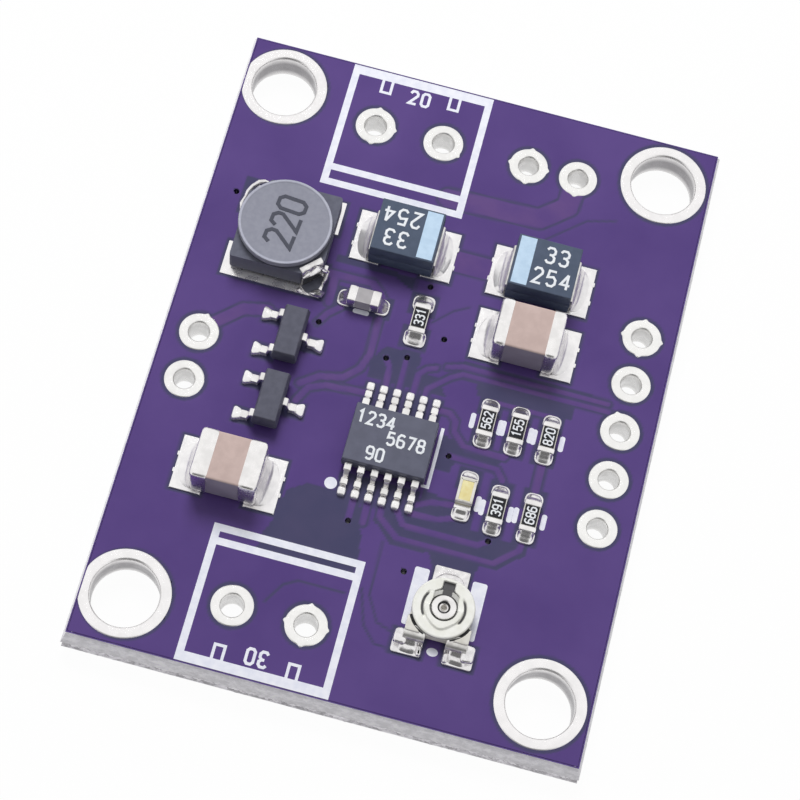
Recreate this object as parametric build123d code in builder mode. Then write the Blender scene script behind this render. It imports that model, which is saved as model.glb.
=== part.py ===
from build123d import *

import math
import os

# Solar charge controller module: one circuit board with surface-mounted parts on its upper face.
# Millimetres. The board's lower face lies on Z = 0 and its centre on the Z axis. +X runs along the
# short side towards the five-pin header, and +Y along the long side towards the upper terminal.

# Circuit board
board_width = 23.9
board_length = 32.3
board_thickness = 1.6

# The board's edges were scored from both faces and snapped: the web between the scores stands out,
# and further at the front edge, where the panel's rail broke off
score_depth = 0.5
score_reach = 0.22
front_score_reach = 0.48

# Copper and solder
plating = 0.05
pad_thickness = 0.05
solder_film = 0.04
solder_low = 0.65
solder_hollow = 0.12

# Mounting holes
mount_hole_radius = 1.6
mount_land_radius = 2.15
mount_inset_left = 2.0
mount_inset_right = 2.3
mount_inset_upper = 2.3
mount_inset_lower = 2.4

# Header holes
pin_pitch = 2.54
pin_hole_radius = 0.5
pin_land_radius = 0.96
header_count = 5
header_inset = 1.6
pair_left_inset = 1.63
pair_right_inset = 3.18

# Screw terminal holes and their printed outlines
terminal_pitch = 3.5
terminal_hole_radius = 0.55
terminal_land_radius = 1.0
terminal_inset = 3.15
outline_margin = 0.12
outline_upper_reach = 3.85
outline_lower_reach = 3.66
outline_outer_reach = 3.0
outline_rail_reach = 2.82
outline_line = 0.36
outline_edge_gap = 0.02
outline_tab_width = 0.62
outline_tab_depth = 0.75
outline_tab_line = 0.14
outline_number_height = 0.72
outline_number_spacing = 1.4
outline_number_drop = 0.16

# Small drilled vias
via_hole_radius = 0.17
via_land_radius = 0.28

# Print on the mask and on the parts
print_thickness = 0.02
mark_line = 0.25
mark_length = 0.8
mark_gap = 0.1
mark_round = 0.11
dot_radius = 0.3

# Inductor
inductor_base_width = 4.5
inductor_base_height = 1.15
inductor_base_round = 0.15
inductor_floor = 0.3
inductor_wall = 0.22
inductor_corner_cut = 0.95
inductor_disc_radius = 2.28
inductor_disc_thickness = 0.36
inductor_disc_gap = 0.12
inductor_core_shift = 0.07
inductor_rim = 0.16
inductor_rim_height = 0.04
inductor_post_radius = 1.0
inductor_flange_thickness = 0.25
inductor_running_gap = 0.1
inductor_clip_width = 1.2
inductor_clip_thickness = 0.12
inductor_clip_foot = 0.45
inductor_clip_rise = 0.86
inductor_pad_length = 1.8
inductor_pad_overhang = 0.42
inductor_pad_side = 0.25
inductor_pad_shift = 0.1
inductor_solder_toe = 0.5
inductor_solder_rise = 0.7
inductor_mark_height = 1.35
inductor_mark_line = 0.18
inductor_mark_spacing = 0.8
inductor_mark_turn = 85

# Tantalum capacitors
tantalum_length = 3.2
tantalum_width = 2.8
tantalum_height = 1.72
tantalum_parting = 0.85
tantalum_draft = 4
tantalum_strap_width = 2.2
tantalum_strap_thickness = 0.12
tantalum_strap_fold = 0.8
tantalum_stripe_width = 0.78
tantalum_stripe_inset = 0.02
tantalum_stripe_margin = 0.06
tantalum_edge = 0.05
tantalum_solder_rise = 0.8
tantalum_mark_height = 0.8
tantalum_mark_line = 0.12
tantalum_mark_spacing = 1.4
tantalum_row_offset = 0.6
tantalum_first_row_shift = 0.45
tantalum_second_row_shift = 0.42

# Ceramic capacitors of the same footprint
ceramic_length = 3.2
ceramic_width = 2.5
ceramic_height = 2.1
ceramic_cap_upper = 0.66
ceramic_cap_lower_left = 0.8
ceramic_cap_lower_right = 0.9
ceramic_cap_wall = 0.05
ceramic_cap_round = 0.048
ceramic_solder_rise = 1.2

# Footprint shared by the tantalum and ceramic capacitors
power_pad_width = 2.72
power_pad_length = 1.5
power_pad_toe = 0.93

# Resistors, small capacitor and indicator lamp
chip_length = 1.6
chip_width = 0.82
chip_cap_length = 0.3
chip_cap_wall = 0.03
chip_pad_width = 0.9
chip_pad_length = 0.85
chip_pad_toe = 0.5
resistor_pad_shift = 0.08
wide_pad_width = 1.1
wide_pad_toe = 0.6
resistor_height = 0.42
resistor_coating = 0.04
resistor_coating_inset = 0.045
resistor_solder_rise = 0.3
resistor_mark_height = 0.42
resistor_mark_line = 0.07
resistor_mark_spacing = 0.9
small_capacitor_height = 0.8
small_capacitor_solder_rise = 0.5
small_capacitor_dash_offset = 0.5
lamp_base_height = 0.25
lamp_lens_height = 0.35
lamp_lens_draft = 3
lamp_cap_upper = 0.12
lamp_cap_lower = 0.33
lamp_solder_rise = 0.15

# Three-legged parts
tripod_length = 2.75
tripod_width = 1.26
tripod_height = 1.0
tripod_standoff = 0.08
tripod_parting = 0.55
tripod_draft = 7
tripod_span = 2.4
tripod_leg_pitch = 1.9
tripod_leg_width = 0.42
tripod_leg_thickness = 0.13
tripod_foot = 0.3
tripod_pad_width = 0.62
tripod_pad_length = 0.95
tripod_pad_toe = 0.35
leg_solder_rise = 0.12
leg_bend = 0.6

# Controller chip
controller_length = 4.04
controller_width = 3.0
controller_height = 0.86
controller_draft = 6
controller_standoff = 0.1
controller_leg_pitch = 0.65
controller_leg_count = 6
controller_leg_width = 0.3
controller_leg_thickness = 0.15
controller_span = 4.9
controller_foot = 0.5
controller_pad_width = 0.38
controller_pad_length = 1.1
controller_pad_toe = 0.5
controller_line = 0.16
controller_line_gap = 0.12
controller_line_overrun = 0.17
controller_line_foot = 0.4
controller_mark_height = 0.62
controller_mark_line = 0.11
controller_mark_spacing = 1.1
controller_first_row = (-0.91, 0.81)
controller_second_row = (0.72, 0.05)
controller_third_row = (-0.55, -0.89)

# Trimmer
trimmer_base_radius = 1.45
trimmer_base_width = 3.0
trimmer_base_reach = 1.42
trimmer_base_height = 0.42
trimmer_track_outer = 1.3
trimmer_track_inner = 0.75
trimmer_track_thickness = 0.03
trimmer_track_gap = 0.9
trimmer_rotor_radius = 1.5
trimmer_rotor_thickness = 0.17
trimmer_rotor_gap = 0.05
trimmer_ring_outer = 0.92
trimmer_ring_inner = 0.64
trimmer_ring_height = 0.12
trimmer_slot_width = 0.5
trimmer_slot_reach = 1.3
trimmer_eyelet_radius = 0.34
trimmer_eyelet_bore = 0.2
trimmer_head_radius = 0.56
trimmer_head_thickness = 0.08
trimmer_clearance = 0.05
trimmer_strap = 0.14
trimmer_wiper_width = 1.67
trimmer_wiper_reach = 2.08
trimmer_wiper_pad_toe = 0.08
trimmer_wiper_pad_length = 0.86
trimmer_wiper_solder_rise = 0.1
trimmer_end_width = 1.0
trimmer_end_offset = 1.0
trimmer_end_fold = 0.45
trimmer_end_bulge = 0.33
trimmer_end_pad_width = 1.43
trimmer_end_pad_offset = 1.2
trimmer_end_pad_length = 1.12
trimmer_end_pad_toe = 0.62
trimmer_end_solder_rise = 0.4
trimmer_bar_width = 0.7
trimmer_bar_length = 2.85
trimmer_bar_offset = 1.38
trimmer_bar_shift = 0.475
trimmer_dot_length = 0.54
trimmer_dot_width = 0.4
trimmer_dot_reach = 1.92

# Heights that follow from the values above
board_top = board_thickness
pad_top = board_top + pad_thickness
seat = pad_top + solder_film

# Layout: the board is divided into 24 by 32 steps, and places are counted in steps from its centre
step_x = board_width / 24
step_y = board_length / 32


def spot(across, along):
    """A place on the board, in layout steps from its centre."""
    return (across * step_x, along * step_y)


# Steps along the board's edges from its centre lines to the middle of each group of holes
header_steps = 0.27
pair_left_steps = -1.51
pair_right_steps = 4.2
terminal_upper_steps = -3.26
terminal_lower_steps = -3.34

left_edge = -board_width / 2
right_edge = board_width / 2
lower_edge = -board_length / 2
upper_edge = board_length / 2

mount_places = [
    (left_edge + mount_inset_left, upper_edge - mount_inset_upper),
    (right_edge - mount_inset_right, upper_edge - mount_inset_upper),
    (left_edge + mount_inset_left, lower_edge + mount_inset_lower),
    (right_edge - mount_inset_right, lower_edge + mount_inset_lower),
]

header_centre = (right_edge - header_inset, header_steps * step_y)
pair_left_centre = (left_edge + pair_left_inset, pair_left_steps * step_y)
pair_right_centre = (pair_right_steps * step_x, upper_edge - pair_right_inset)
terminal_upper_centre = (terminal_upper_steps * step_x, upper_edge - terminal_inset)
terminal_lower_centre = (terminal_lower_steps * step_x, lower_edge + terminal_inset)

inductor_place = spot(-7.68, 5.64)
tantalum_left_place = spot(-1.92, 6.84)
tantalum_right_place = spot(4.95, 6.86)
ceramic_upper_place = spot(4.97, 3.36)
ceramic_lower_place = spot(-6.99, -6.83)
tripod_upper_place = spot(-6.05, 0.55)
tripod_lower_place = spot(-6.05, -2.88)
small_capacitor_place = spot(-3.14, 3.36)
resistor_places = [
    spot(-0.29, 3.16),
    spot(4.1, -1.1),
    spot(5.6, -1.09),
    spot(7.14, -1.12),
    spot(5.57, -5.2),
    spot(7.18, -5.16),
]
lamp_place = spot(3.98, -4.9)
controller_place = spot(-0.06, -3.52)
trimmer_place = spot(4.32, -10.69)

via_places = [
    spot(-10.7, 7.43),
    spot(-4.97, 1.82),
    spot(-1.36, 0.89),
    spot(-0.39, 1.19),
    spot(1.11, 2.59),
    spot(2.75, -3.14),
    spot(-1.02, -7.52),
    spot(2.11, -9.21),
    spot(5.56, -6.74),
    spot(-0.21, 5.09),
]


def row(centre, pitch, count, along_y=False):
    """Centres of an even row of holes or legs."""
    offsets = [(index - (count - 1) / 2) * pitch for index in range(count)]
    if along_y:
        return [(centre[0], centre[1] + offset) for offset in offsets]
    return [(centre[0] + offset, centre[1]) for offset in offsets]


header_places = row(header_centre, pin_pitch, header_count, along_y=True)
pair_left_places = row(pair_left_centre, pin_pitch, 2, along_y=True)
pair_right_places = row(pair_right_centre, pin_pitch, 2)
terminal_upper_places = row(terminal_upper_centre, terminal_pitch, 2)
terminal_lower_places = row(terminal_lower_centre, terminal_pitch, 2)
pin_places = header_places + pair_left_places + pair_right_places
terminal_places = terminal_upper_places + terminal_lower_places


def level(height):
    """The horizontal plane at a height."""
    return Plane.XY.offset(height)


def upright(place, turn):
    """Upright plane through a place: its X points outwards at the angle, its Y points up."""
    outward = Vector(1, 0, 0).rotate(Axis.Z, turn)
    return Plane(origin=(place[0], place[1], 0), x_dir=outward, z_dir=outward.cross(Vector(0, 0, 1)))


def moved(place, turn, forward, sideways=0):
    """A place moved forward along an angle, and sideways to the left of it."""
    angle = math.radians(turn)
    x = place[0] + forward * math.cos(angle) - sideways * math.sin(angle)
    y = place[1] + forward * math.sin(angle) + sideways * math.cos(angle)
    return (x, y)


def plated_holes(places, hole_radius, land_radius):
    """Plated holes: a land on each face of the board and the barrel that joins them."""
    with BuildSketch() as lower_lands:
        with Locations(*places):
            Circle(land_radius)
        Rectangle(board_width, board_length, mode=Mode.INTERSECT)
    with BuildSketch(level(board_top)) as upper_lands:
        with Locations(*places):
            Circle(land_radius)
        Rectangle(board_width, board_length, mode=Mode.INTERSECT)
    with BuildSketch() as barrels:
        with Locations(*places):
            Circle(hole_radius + plating)
    with BuildSketch() as bores:
        with Locations(*places):
            Circle(hole_radius)
    extrude(lower_lands.sketch, amount=plating)
    extrude(upper_lands.sketch, amount=plating)
    extrude(barrels.sketch, amount=board_top + plating)
    extrude(bores.sketch, amount=board_top + plating, mode=Mode.SUBTRACT)


web_width = board_width + 2 * score_reach
web_length = board_length + score_reach + front_score_reach
web_shift = (score_reach - front_score_reach) / 2

with BuildPart() as circuit_board:
    for face_height, web_height in ((0, score_depth), (board_top, board_top - score_depth)):
        with BuildSketch(level(face_height)):
            Rectangle(board_width, board_length)
        with BuildSketch(level(web_height)):
            with Locations((0, web_shift)):
                Rectangle(web_width, web_length)
        loft(ruled=True)
    with BuildSketch(level(score_depth)) as web:
        with Locations((0, web_shift)):
            Rectangle(web_width, web_length)
    extrude(web.sketch, amount=board_thickness - 2 * score_depth)
    with BuildSketch() as drilled_holes:
        with Locations(*mount_places):
            Circle(mount_hole_radius + plating)
        with Locations(*pin_places):
            Circle(pin_hole_radius + plating)
        with Locations(*terminal_places):
            Circle(terminal_hole_radius + plating)
        with Locations(*via_places):
            Circle(via_hole_radius + plating)
    extrude(drilled_holes.sketch, amount=board_thickness, mode=Mode.SUBTRACT)
    with BuildSketch() as land_seats:
        with Locations(*mount_places):
            Circle(mount_land_radius)
        with Locations(*pin_places):
            Circle(pin_land_radius)
        with Locations(*terminal_places):
            Circle(terminal_land_radius)
        with Locations(*via_places):
            Circle(via_land_radius)
    extrude(land_seats.sketch, amount=plating, mode=Mode.SUBTRACT)

with BuildPart() as mounting_hole_plating:
    plated_holes(mount_places, mount_hole_radius, mount_land_radius)

with BuildPart() as header_hole_plating:
    plated_holes(header_places, pin_hole_radius, pin_land_radius)

with BuildPart() as left_pair_plating:
    plated_holes(pair_left_places, pin_hole_radius, pin_land_radius)

with BuildPart() as right_pair_plating:
    plated_holes(pair_right_places, pin_hole_radius, pin_land_radius)

with BuildPart() as upper_terminal_plating:
    plated_holes(terminal_upper_places, terminal_hole_radius, terminal_land_radius)

with BuildPart() as lower_terminal_plating:
    plated_holes(terminal_lower_places, terminal_hole_radius, terminal_land_radius)

with BuildPart() as via_plating:
    plated_holes(via_places, via_hole_radius, via_land_radius)


# Strokes of the printed digits, on a field two units wide and four high
digit_strokes = {
    "0": [[(0.5, 0), (1.5, 0), (2, 0.6), (2, 3.4), (1.5, 4), (0.5, 4), (0, 3.4), (0, 0.6), (0.5, 0)]],
    "1": [[(0.3, 3.2), (1.1, 4), (1.1, 0)]],
    "2": [[(0, 3.2), (0.5, 4), (1.5, 4), (2, 3.4), (2, 2.7), (0, 0), (2, 0)]],
    "3": [[(0, 3.4), (0.5, 4), (1.5, 4), (2, 3.4), (2, 2.6), (1.4, 2.1), (0.7, 2.1)],
          [(1.4, 2.1), (2, 1.5), (2, 0.6), (1.5, 0), (0.5, 0), (0, 0.6)]],
    "4": [[(2.2, 1.2), (0, 1.2), (1.5, 4)], [(1.5, 4), (1.5, 0)]],
    "5": [[(1.9, 4), (0.2, 4), (0, 2.2), (1.4, 2.5), (2, 1.8), (2, 0.7), (1.4, 0), (0.5, 0), (0, 0.6)]],
    "6": [[(1.9, 3.6), (1.4, 4), (0.6, 4), (0, 3.2), (0, 0.6), (0.5, 0), (1.5, 0), (2, 0.6), (2, 1.8),
           (1.5, 2.3)], [(1.5, 2.3), (0, 2.3)]],
    "7": [[(0, 4), (2, 4), (0.8, 0)]],
    "8": [[(0.5, 0), (1.5, 0), (2, 0.6), (2, 1.6), (1.5, 2.1), (0.5, 2.1), (0, 1.6), (0, 0.6), (0.5, 0)],
          [(0.5, 2.1), (1.5, 2.1), (1.9, 2.6), (1.9, 3.5), (1.5, 4), (0.5, 4), (0.1, 3.5), (0.1, 2.6),
           (0.5, 2.1)]],
    "9": [[(0.1, 0.4), (0.6, 0), (1.4, 0), (2, 0.8), (2, 3.4), (1.5, 4), (0.5, 4), (0, 3.4), (0, 2.2),
           (0.5, 1.7)], [(0.5, 1.7), (2, 1.7)]],
}


def printed_row(text, plane, height, line, spacing):
    """Faces of a centred row of digits on a plane, spaced in quarters of their height."""
    faces = []
    unit = height / 4
    advance = (2 + spacing) * unit
    start = -(len(text) * advance - spacing * unit) / 2
    for index, digit in enumerate(text):
        corner_x = start + index * advance
        with BuildSketch(plane) as ink:
            for stroke in digit_strokes[digit]:
                with BuildLine():
                    Polyline(*[(corner_x + x * unit, y * unit - height / 2) for x, y in stroke])
                trace(line_width=line)
        faces.extend(ink.sketch.faces())
    return faces


def turned_plane(place, height, turn):
    """A horizontal plane at a place, turned about the vertical."""
    return Plane(origin=(place[0], place[1], height), x_dir=Vector(1, 0, 0).rotate(Axis.Z, turn))


outline_width = 2 * terminal_pitch + 2 * outline_margin


def terminal_outline(centre, turn, number, inner_reach):
    """Faces of a screw terminal's printed outline, with its rail, tabs and number."""
    plane = turned_plane(centre, board_top, turn)
    depth = inner_reach + outline_outer_reach
    middle = (outline_outer_reach - inner_reach) / 2
    tab = outline_outer_reach - outline_line - outline_tab_depth / 2
    edge_bar = terminal_inset - outline_edge_gap - outline_outer_reach + outline_line
    tab_places = row((0, tab), terminal_pitch, 2)
    tab_openings = row((0, tab + outline_tab_line), terminal_pitch, 2)
    with BuildSketch(plane) as outline:
        with Locations((0, middle)):
            Rectangle(outline_width, depth)
            Rectangle(outline_width - 2 * outline_line, depth - 2 * outline_line, mode=Mode.SUBTRACT)
        with Locations((0, -outline_rail_reach)):
            Rectangle(outline_width - 2 * outline_line, outline_line)
        with Locations(*tab_places):
            Rectangle(outline_tab_width, outline_tab_depth)
        with Locations(*tab_openings):
            Rectangle(outline_tab_width - 2 * outline_tab_line, outline_tab_depth, mode=Mode.SUBTRACT)
        with Locations((0, terminal_inset - outline_edge_gap - edge_bar / 2)):
            Rectangle(outline_width, edge_bar)
    number_place = moved(centre, turn + 90, tab - outline_number_drop)
    number_plane = turned_plane(number_place, board_top, turn)
    number_size = (outline_number_height, outline_tab_line, outline_number_spacing)
    return outline.sketch.faces() + printed_row(number, number_plane, *number_size)


with BuildPart() as terminal_outlines:
    upper_outline = terminal_outline(terminal_upper_centre, 0, "20", outline_upper_reach)
    lower_outline = terminal_outline(terminal_lower_centre, 180, "30", outline_lower_reach)
    extrude(upper_outline + lower_outline, amount=print_thickness)

# Printed bars beside the small parts and under the trimmer, the dot at the controller's first leg
# and the controller's corner line
side_mark_offset = max(chip_width, chip_pad_width) / 2 + mark_gap + mark_line / 2
controller_x, controller_y = controller_place
controller_first_pad = controller_x - (controller_leg_count - 1) / 2 * controller_leg_pitch
controller_dot_x = controller_first_pad - controller_pad_width / 2 - mark_gap - dot_radius
controller_line_right = controller_x + controller_length / 2 + controller_line_gap + controller_line
controller_line_low = controller_y - controller_width / 2
controller_line_length = controller_width + controller_line_overrun
trimmer_x, trimmer_y = trimmer_place

with BuildPart() as part_marks:
    with BuildSketch(level(board_top)):
        for x, y in resistor_places[1:]:
            with Locations((x - side_mark_offset, y), (x + side_mark_offset, y)):
                RectangleRounded(mark_line, mark_length, mark_round)
        with Locations((lamp_place[0] + side_mark_offset, lamp_place[1] - mark_length / 4)):
            RectangleRounded(mark_line, mark_length, mark_round)
        with Locations((small_capacitor_place[0], small_capacitor_place[1] - small_capacitor_dash_offset)):
            RectangleRounded(mark_length, mark_line, mark_round)
        with Locations((controller_dot_x, controller_y - controller_span / 2)):
            Circle(dot_radius)
        with Locations((controller_line_right - controller_line / 2,
                        controller_line_low + controller_line_length / 2)):
            Rectangle(controller_line, controller_line_length)
        with Locations((controller_line_right - controller_line_foot / 2,
                        controller_line_low + controller_line / 2)):
            Rectangle(controller_line_foot, controller_line)
        with Locations((trimmer_x - trimmer_bar_offset, trimmer_y + trimmer_bar_shift),
                       (trimmer_x + trimmer_bar_offset, trimmer_y + trimmer_bar_shift)):
            RectangleRounded(trimmer_bar_width, trimmer_bar_length, mark_round)
        with Locations((trimmer_x, trimmer_y - trimmer_dot_reach)):
            Ellipse(trimmer_dot_length / 2, trimmer_dot_width / 2)
    extrude(amount=print_thickness)


def end_pads(places, turn, half_length, toe, length, width):
    """A pad at each end of a two-ended part, reaching past it by the toe."""
    with BuildSketch(level(board_top)) as pads:
        for place in places:
            for side in (0, 180):
                x, y = moved(place, turn + side, half_length + toe - length / 2)
                with Locations(Location((x, y), turn)):
                    Rectangle(length, width)
    return pads.sketch.faces()


def solder_toe(place, turn, wall, toe, rise):
    """Side view of solder that climbs an end face from the pad's outer edge, with a hollow slope."""
    start = Vector(wall, seat + rise)
    finish = Vector(wall + toe, pad_top + solder_film / 2)
    middle = start * (1 - solder_low) + finish * solder_low - Vector(toe, rise) * solder_hollow
    with BuildSketch(upright(place, turn)) as slope:
        with BuildLine():
            hollow = ThreePointArc(start, middle, finish)
            Line(hollow @ 1, (wall + toe, pad_top))
            Line((wall + toe, pad_top), (wall, pad_top))
            Line((wall, pad_top), hollow @ 0)
        make_face()
    return slope.sketch.faces()


def solder_bed(place, turn, inner, outer, width):
    """Film of solder between a pad and what stands on it."""
    x, y = moved(place, turn, (inner + outer) / 2)
    with BuildSketch(level(pad_top)) as film:
        with Locations(Location((x, y), turn)):
            Rectangle(outer - inner, width)
    return film.sketch.faces()


def all_of(lists):
    """One list of all the faces in several lists."""
    return [face for faces in lists for face in faces]


# Inductor
clip_centre = inductor_base_width / math.sqrt(2) - inductor_corner_cut / math.sqrt(2)
inductor_seat = seat + inductor_clip_thickness
inductor_floor_top = inductor_seat + inductor_floor
inductor_base_top = inductor_seat + inductor_base_height
inductor_cavity_radius = inductor_base_width / 2 - inductor_wall
inductor_disc_bottom = inductor_base_top + inductor_disc_gap
inductor_top = inductor_disc_bottom + inductor_disc_thickness
inductor_face = inductor_top - inductor_rim_height
inductor_flange_radius = inductor_cavity_radius - inductor_running_gap
inductor_flange_top = inductor_floor_top + inductor_flange_thickness
inductor_pad_width = inductor_base_width + 2 * inductor_pad_side
inductor_pad_offset = inductor_base_width / 2 + inductor_pad_overhang - inductor_pad_length / 2
inductor_x, inductor_y = inductor_place
inductor_core_place = moved(inductor_place, 180, inductor_core_shift)


with BuildPart() as inductor_base:
    with BuildSketch(Plane(origin=(inductor_x, inductor_y, inductor_seat))) as base_outline:
        half = inductor_base_width / 2
        with BuildLine():
            Polyline(
                (-half, -half),
                (half - inductor_corner_cut, -half),
                (half, -half + inductor_corner_cut),
                (half, half),
                (-half + inductor_corner_cut, half),
                (-half, half - inductor_corner_cut),
                close=True,
            )
        make_face()
        fillet(base_outline.vertices(), radius=inductor_base_round)
    extrude(amount=inductor_base_height)
    with BuildSketch(Plane(origin=(inductor_x, inductor_y, inductor_floor_top))):
        Circle(inductor_cavity_radius)
    extrude(amount=inductor_base_height, mode=Mode.SUBTRACT)

with BuildPart() as inductor_core:
    with BuildSketch(upright(inductor_core_place, 0)):
        with BuildLine():
            Polyline(
                (0, inductor_floor_top),
                (inductor_flange_radius, inductor_floor_top),
                (inductor_flange_radius, inductor_flange_top),
                (inductor_post_radius, inductor_flange_top),
                (inductor_post_radius, inductor_disc_bottom),
                (inductor_disc_radius, inductor_disc_bottom),
                (inductor_disc_radius, inductor_face),
                (inductor_disc_radius - inductor_rim_height, inductor_top),
                (inductor_disc_radius - inductor_rim, inductor_top),
                (inductor_disc_radius - inductor_rim - inductor_rim_height, inductor_face),
                (0, inductor_face),
                close=True,
            )
        make_face()
    revolve(axis=Axis(origin=(*inductor_core_place, 0), direction=(0, 0, 1)))

with BuildPart() as inductor_winding:
    with BuildSketch(Plane(origin=(*inductor_core_place, inductor_flange_top))):
        Circle(inductor_flange_radius - inductor_running_gap)
        Circle(inductor_post_radius, mode=Mode.SUBTRACT)
    extrude(amount=inductor_disc_bottom - inductor_flange_top)

# Each clip stands against a cut corner of the base, and its foot is soldered to the pad
clip_face = clip_centre + inductor_clip_thickness
clip_heel = clip_centre - inductor_clip_foot

with BuildPart() as inductor_terminals:
    for turn in (135, -45):
        with BuildSketch(upright(inductor_place, turn)) as clip:
            with BuildLine():
                Polyline(
                    (clip_heel, seat),
                    (clip_face, seat),
                    (clip_face, inductor_seat + inductor_clip_rise),
                    (clip_centre, inductor_seat + inductor_clip_rise),
                    (clip_centre, inductor_seat),
                    (clip_heel, inductor_seat),
                    close=True,
                )
            make_face()
        extrude(amount=inductor_clip_width / 2, both=True)

with BuildPart() as inductor_mark:
    mark_plane = turned_plane(inductor_core_place, inductor_face, inductor_mark_turn)
    mark_size = (inductor_mark_height, inductor_mark_line, inductor_mark_spacing)
    extrude(printed_row("220", mark_plane, *mark_size), amount=print_thickness)

with BuildPart() as inductor_pads:
    with BuildSketch(level(board_top)):
        pads_x = inductor_x - inductor_pad_shift
        with Locations((pads_x, inductor_y - inductor_pad_offset),
                       (pads_x, inductor_y + inductor_pad_offset)):
            Rectangle(inductor_pad_width, inductor_pad_length)
    extrude(amount=pad_thickness)

with BuildPart() as inductor_solder:
    beds = [solder_bed(inductor_place, turn, clip_heel, clip_face, inductor_clip_width)
            for turn in (135, -45)]
    toes = [solder_toe(inductor_place, turn, clip_face, inductor_solder_toe, inductor_solder_rise)
            for turn in (135, -45)]
    extrude(all_of(beds), amount=solder_film)
    extrude(all_of(toes), amount=inductor_clip_width / 2, both=True)


# Tantalum capacitors
strap_face = tantalum_length / 2 + tantalum_strap_thickness
tantalum_foot = seat + tantalum_strap_thickness
tantalum_parting_height = seat + tantalum_parting
tantalum_top = seat + tantalum_height
tantalum_upper_part = tantalum_top - tantalum_parting_height
tantalum_narrowing = 2 * math.tan(math.radians(tantalum_draft)) * tantalum_upper_part
tantalum_top_width = tantalum_width - tantalum_narrowing
tantalum_top_length = tantalum_length - tantalum_narrowing


def tantalum_body(place):
    """Moulded block that narrows away from its parting line, up and down."""
    with BuildSketch(Plane(origin=(*place, tantalum_parting_height))) as section:
        Rectangle(tantalum_length, tantalum_width)
    extrude(section.sketch, amount=tantalum_upper_part, taper=tantalum_draft)
    lower_part = tantalum_parting_height - tantalum_foot
    extrude(section.sketch, amount=lower_part, dir=(0, 0, -1), taper=tantalum_draft)


with BuildPart() as left_tantalum_body:
    tantalum_body(tantalum_left_place)
    chamfer(left_tantalum_body.faces().sort_by(Axis.Z)[-1].edges(), length=tantalum_edge)

with BuildPart() as right_tantalum_body:
    tantalum_body(tantalum_right_place)
    chamfer(right_tantalum_body.faces().sort_by(Axis.Z)[-1].edges(), length=tantalum_edge)

tantalum_places = (tantalum_left_place, tantalum_right_place)
tantalum_ends = [(place, turn) for place in tantalum_places for turn in (0, 180)]
strap_top = tantalum_parting_height + tantalum_strap_thickness / 2

with BuildPart() as tantalum_straps:
    for place, turn in tantalum_ends:
        with BuildSketch(upright(place, turn)) as strap:
            with BuildLine():
                Polyline(
                    (strap_face - tantalum_strap_fold, seat),
                    (strap_face, seat),
                    (strap_face, strap_top),
                    (strap_face - tantalum_strap_thickness, strap_top),
                    (strap_face - tantalum_strap_thickness, tantalum_foot),
                    (strap_face - tantalum_strap_fold, tantalum_foot),
                    close=True,
                )
            make_face()
        extrude(strap.sketch, amount=tantalum_strap_width / 2, both=True)

stripe_end = tantalum_top_length / 2 - tantalum_edge - tantalum_stripe_inset
stripe_centre = stripe_end - tantalum_stripe_width / 2
tantalum_facing = ((tantalum_left_place, 0), (tantalum_right_place, 180))

with BuildPart() as tantalum_stripes:
    for place, turn in tantalum_facing:
        x, y = moved(place, turn, stripe_centre)
        with BuildSketch(Plane(origin=(x, y, tantalum_top))):
            Rectangle(tantalum_stripe_width, tantalum_top_width - 2 * tantalum_stripe_margin)
        extrude(amount=print_thickness)

tantalum_rows = (
    ("33", -tantalum_first_row_shift, -tantalum_row_offset),
    ("254", -tantalum_second_row_shift, tantalum_row_offset),
)

with BuildPart() as tantalum_marks:
    mark_size = (tantalum_mark_height, tantalum_mark_line, tantalum_mark_spacing)
    for place, turn in tantalum_facing:
        for number, forward, sideways in tantalum_rows:
            row_plane = turned_plane(moved(place, turn, forward, sideways), tantalum_top, turn + 180)
            extrude(printed_row(number, row_plane, *mark_size), amount=print_thickness)

# Ceramic capacitors
ceramic_ends = (
    (ceramic_upper_place, 0, ceramic_cap_upper),
    (ceramic_upper_place, 180, ceramic_cap_upper),
    (ceramic_lower_place, 0, ceramic_cap_lower_right),
    (ceramic_lower_place, 180, ceramic_cap_lower_left),
)


def ceramic_body(place):
    """Ceramic block of a capacitor, without its end caps."""
    with BuildSketch(Plane(origin=(*place, seat + ceramic_cap_wall))) as section:
        Rectangle(ceramic_length - 2 * ceramic_cap_wall, ceramic_width - 2 * ceramic_cap_wall)
    extrude(section.sketch, amount=ceramic_height - 2 * ceramic_cap_wall)


with BuildPart() as upper_ceramic_body:
    ceramic_body(ceramic_upper_place)

with BuildPart() as lower_ceramic_body:
    ceramic_body(ceramic_lower_place)

with BuildPart() as ceramic_end_caps:
    for place, turn, cap_length in ceramic_ends:
        x, y = moved(place, turn, (ceramic_length - cap_length) / 2)
        with BuildSketch(Plane(origin=(x, y, seat))) as cap:
            Rectangle(cap_length, ceramic_width)
        extrude(cap.sketch, amount=ceramic_height)
    fillet(ceramic_end_caps.edges().filter_by(Axis.X), radius=ceramic_cap_round)
    for place in (ceramic_upper_place, ceramic_lower_place):
        ceramic_body_space = Plane(origin=(*place, seat + ceramic_cap_wall))
        with BuildSketch(ceramic_body_space) as section:
            Rectangle(ceramic_length - 2 * ceramic_cap_wall, ceramic_width - 2 * ceramic_cap_wall)
        extrude(section.sketch, amount=ceramic_height - 2 * ceramic_cap_wall, mode=Mode.SUBTRACT)

power_places = (tantalum_left_place, tantalum_right_place, ceramic_upper_place, ceramic_lower_place)

with BuildPart() as power_pads:
    pads = end_pads(power_places, 0, ceramic_length / 2, power_pad_toe, power_pad_length, power_pad_width)
    extrude(pads, amount=pad_thickness)

tantalum_toe = ceramic_length / 2 + power_pad_toe - strap_face

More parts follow.
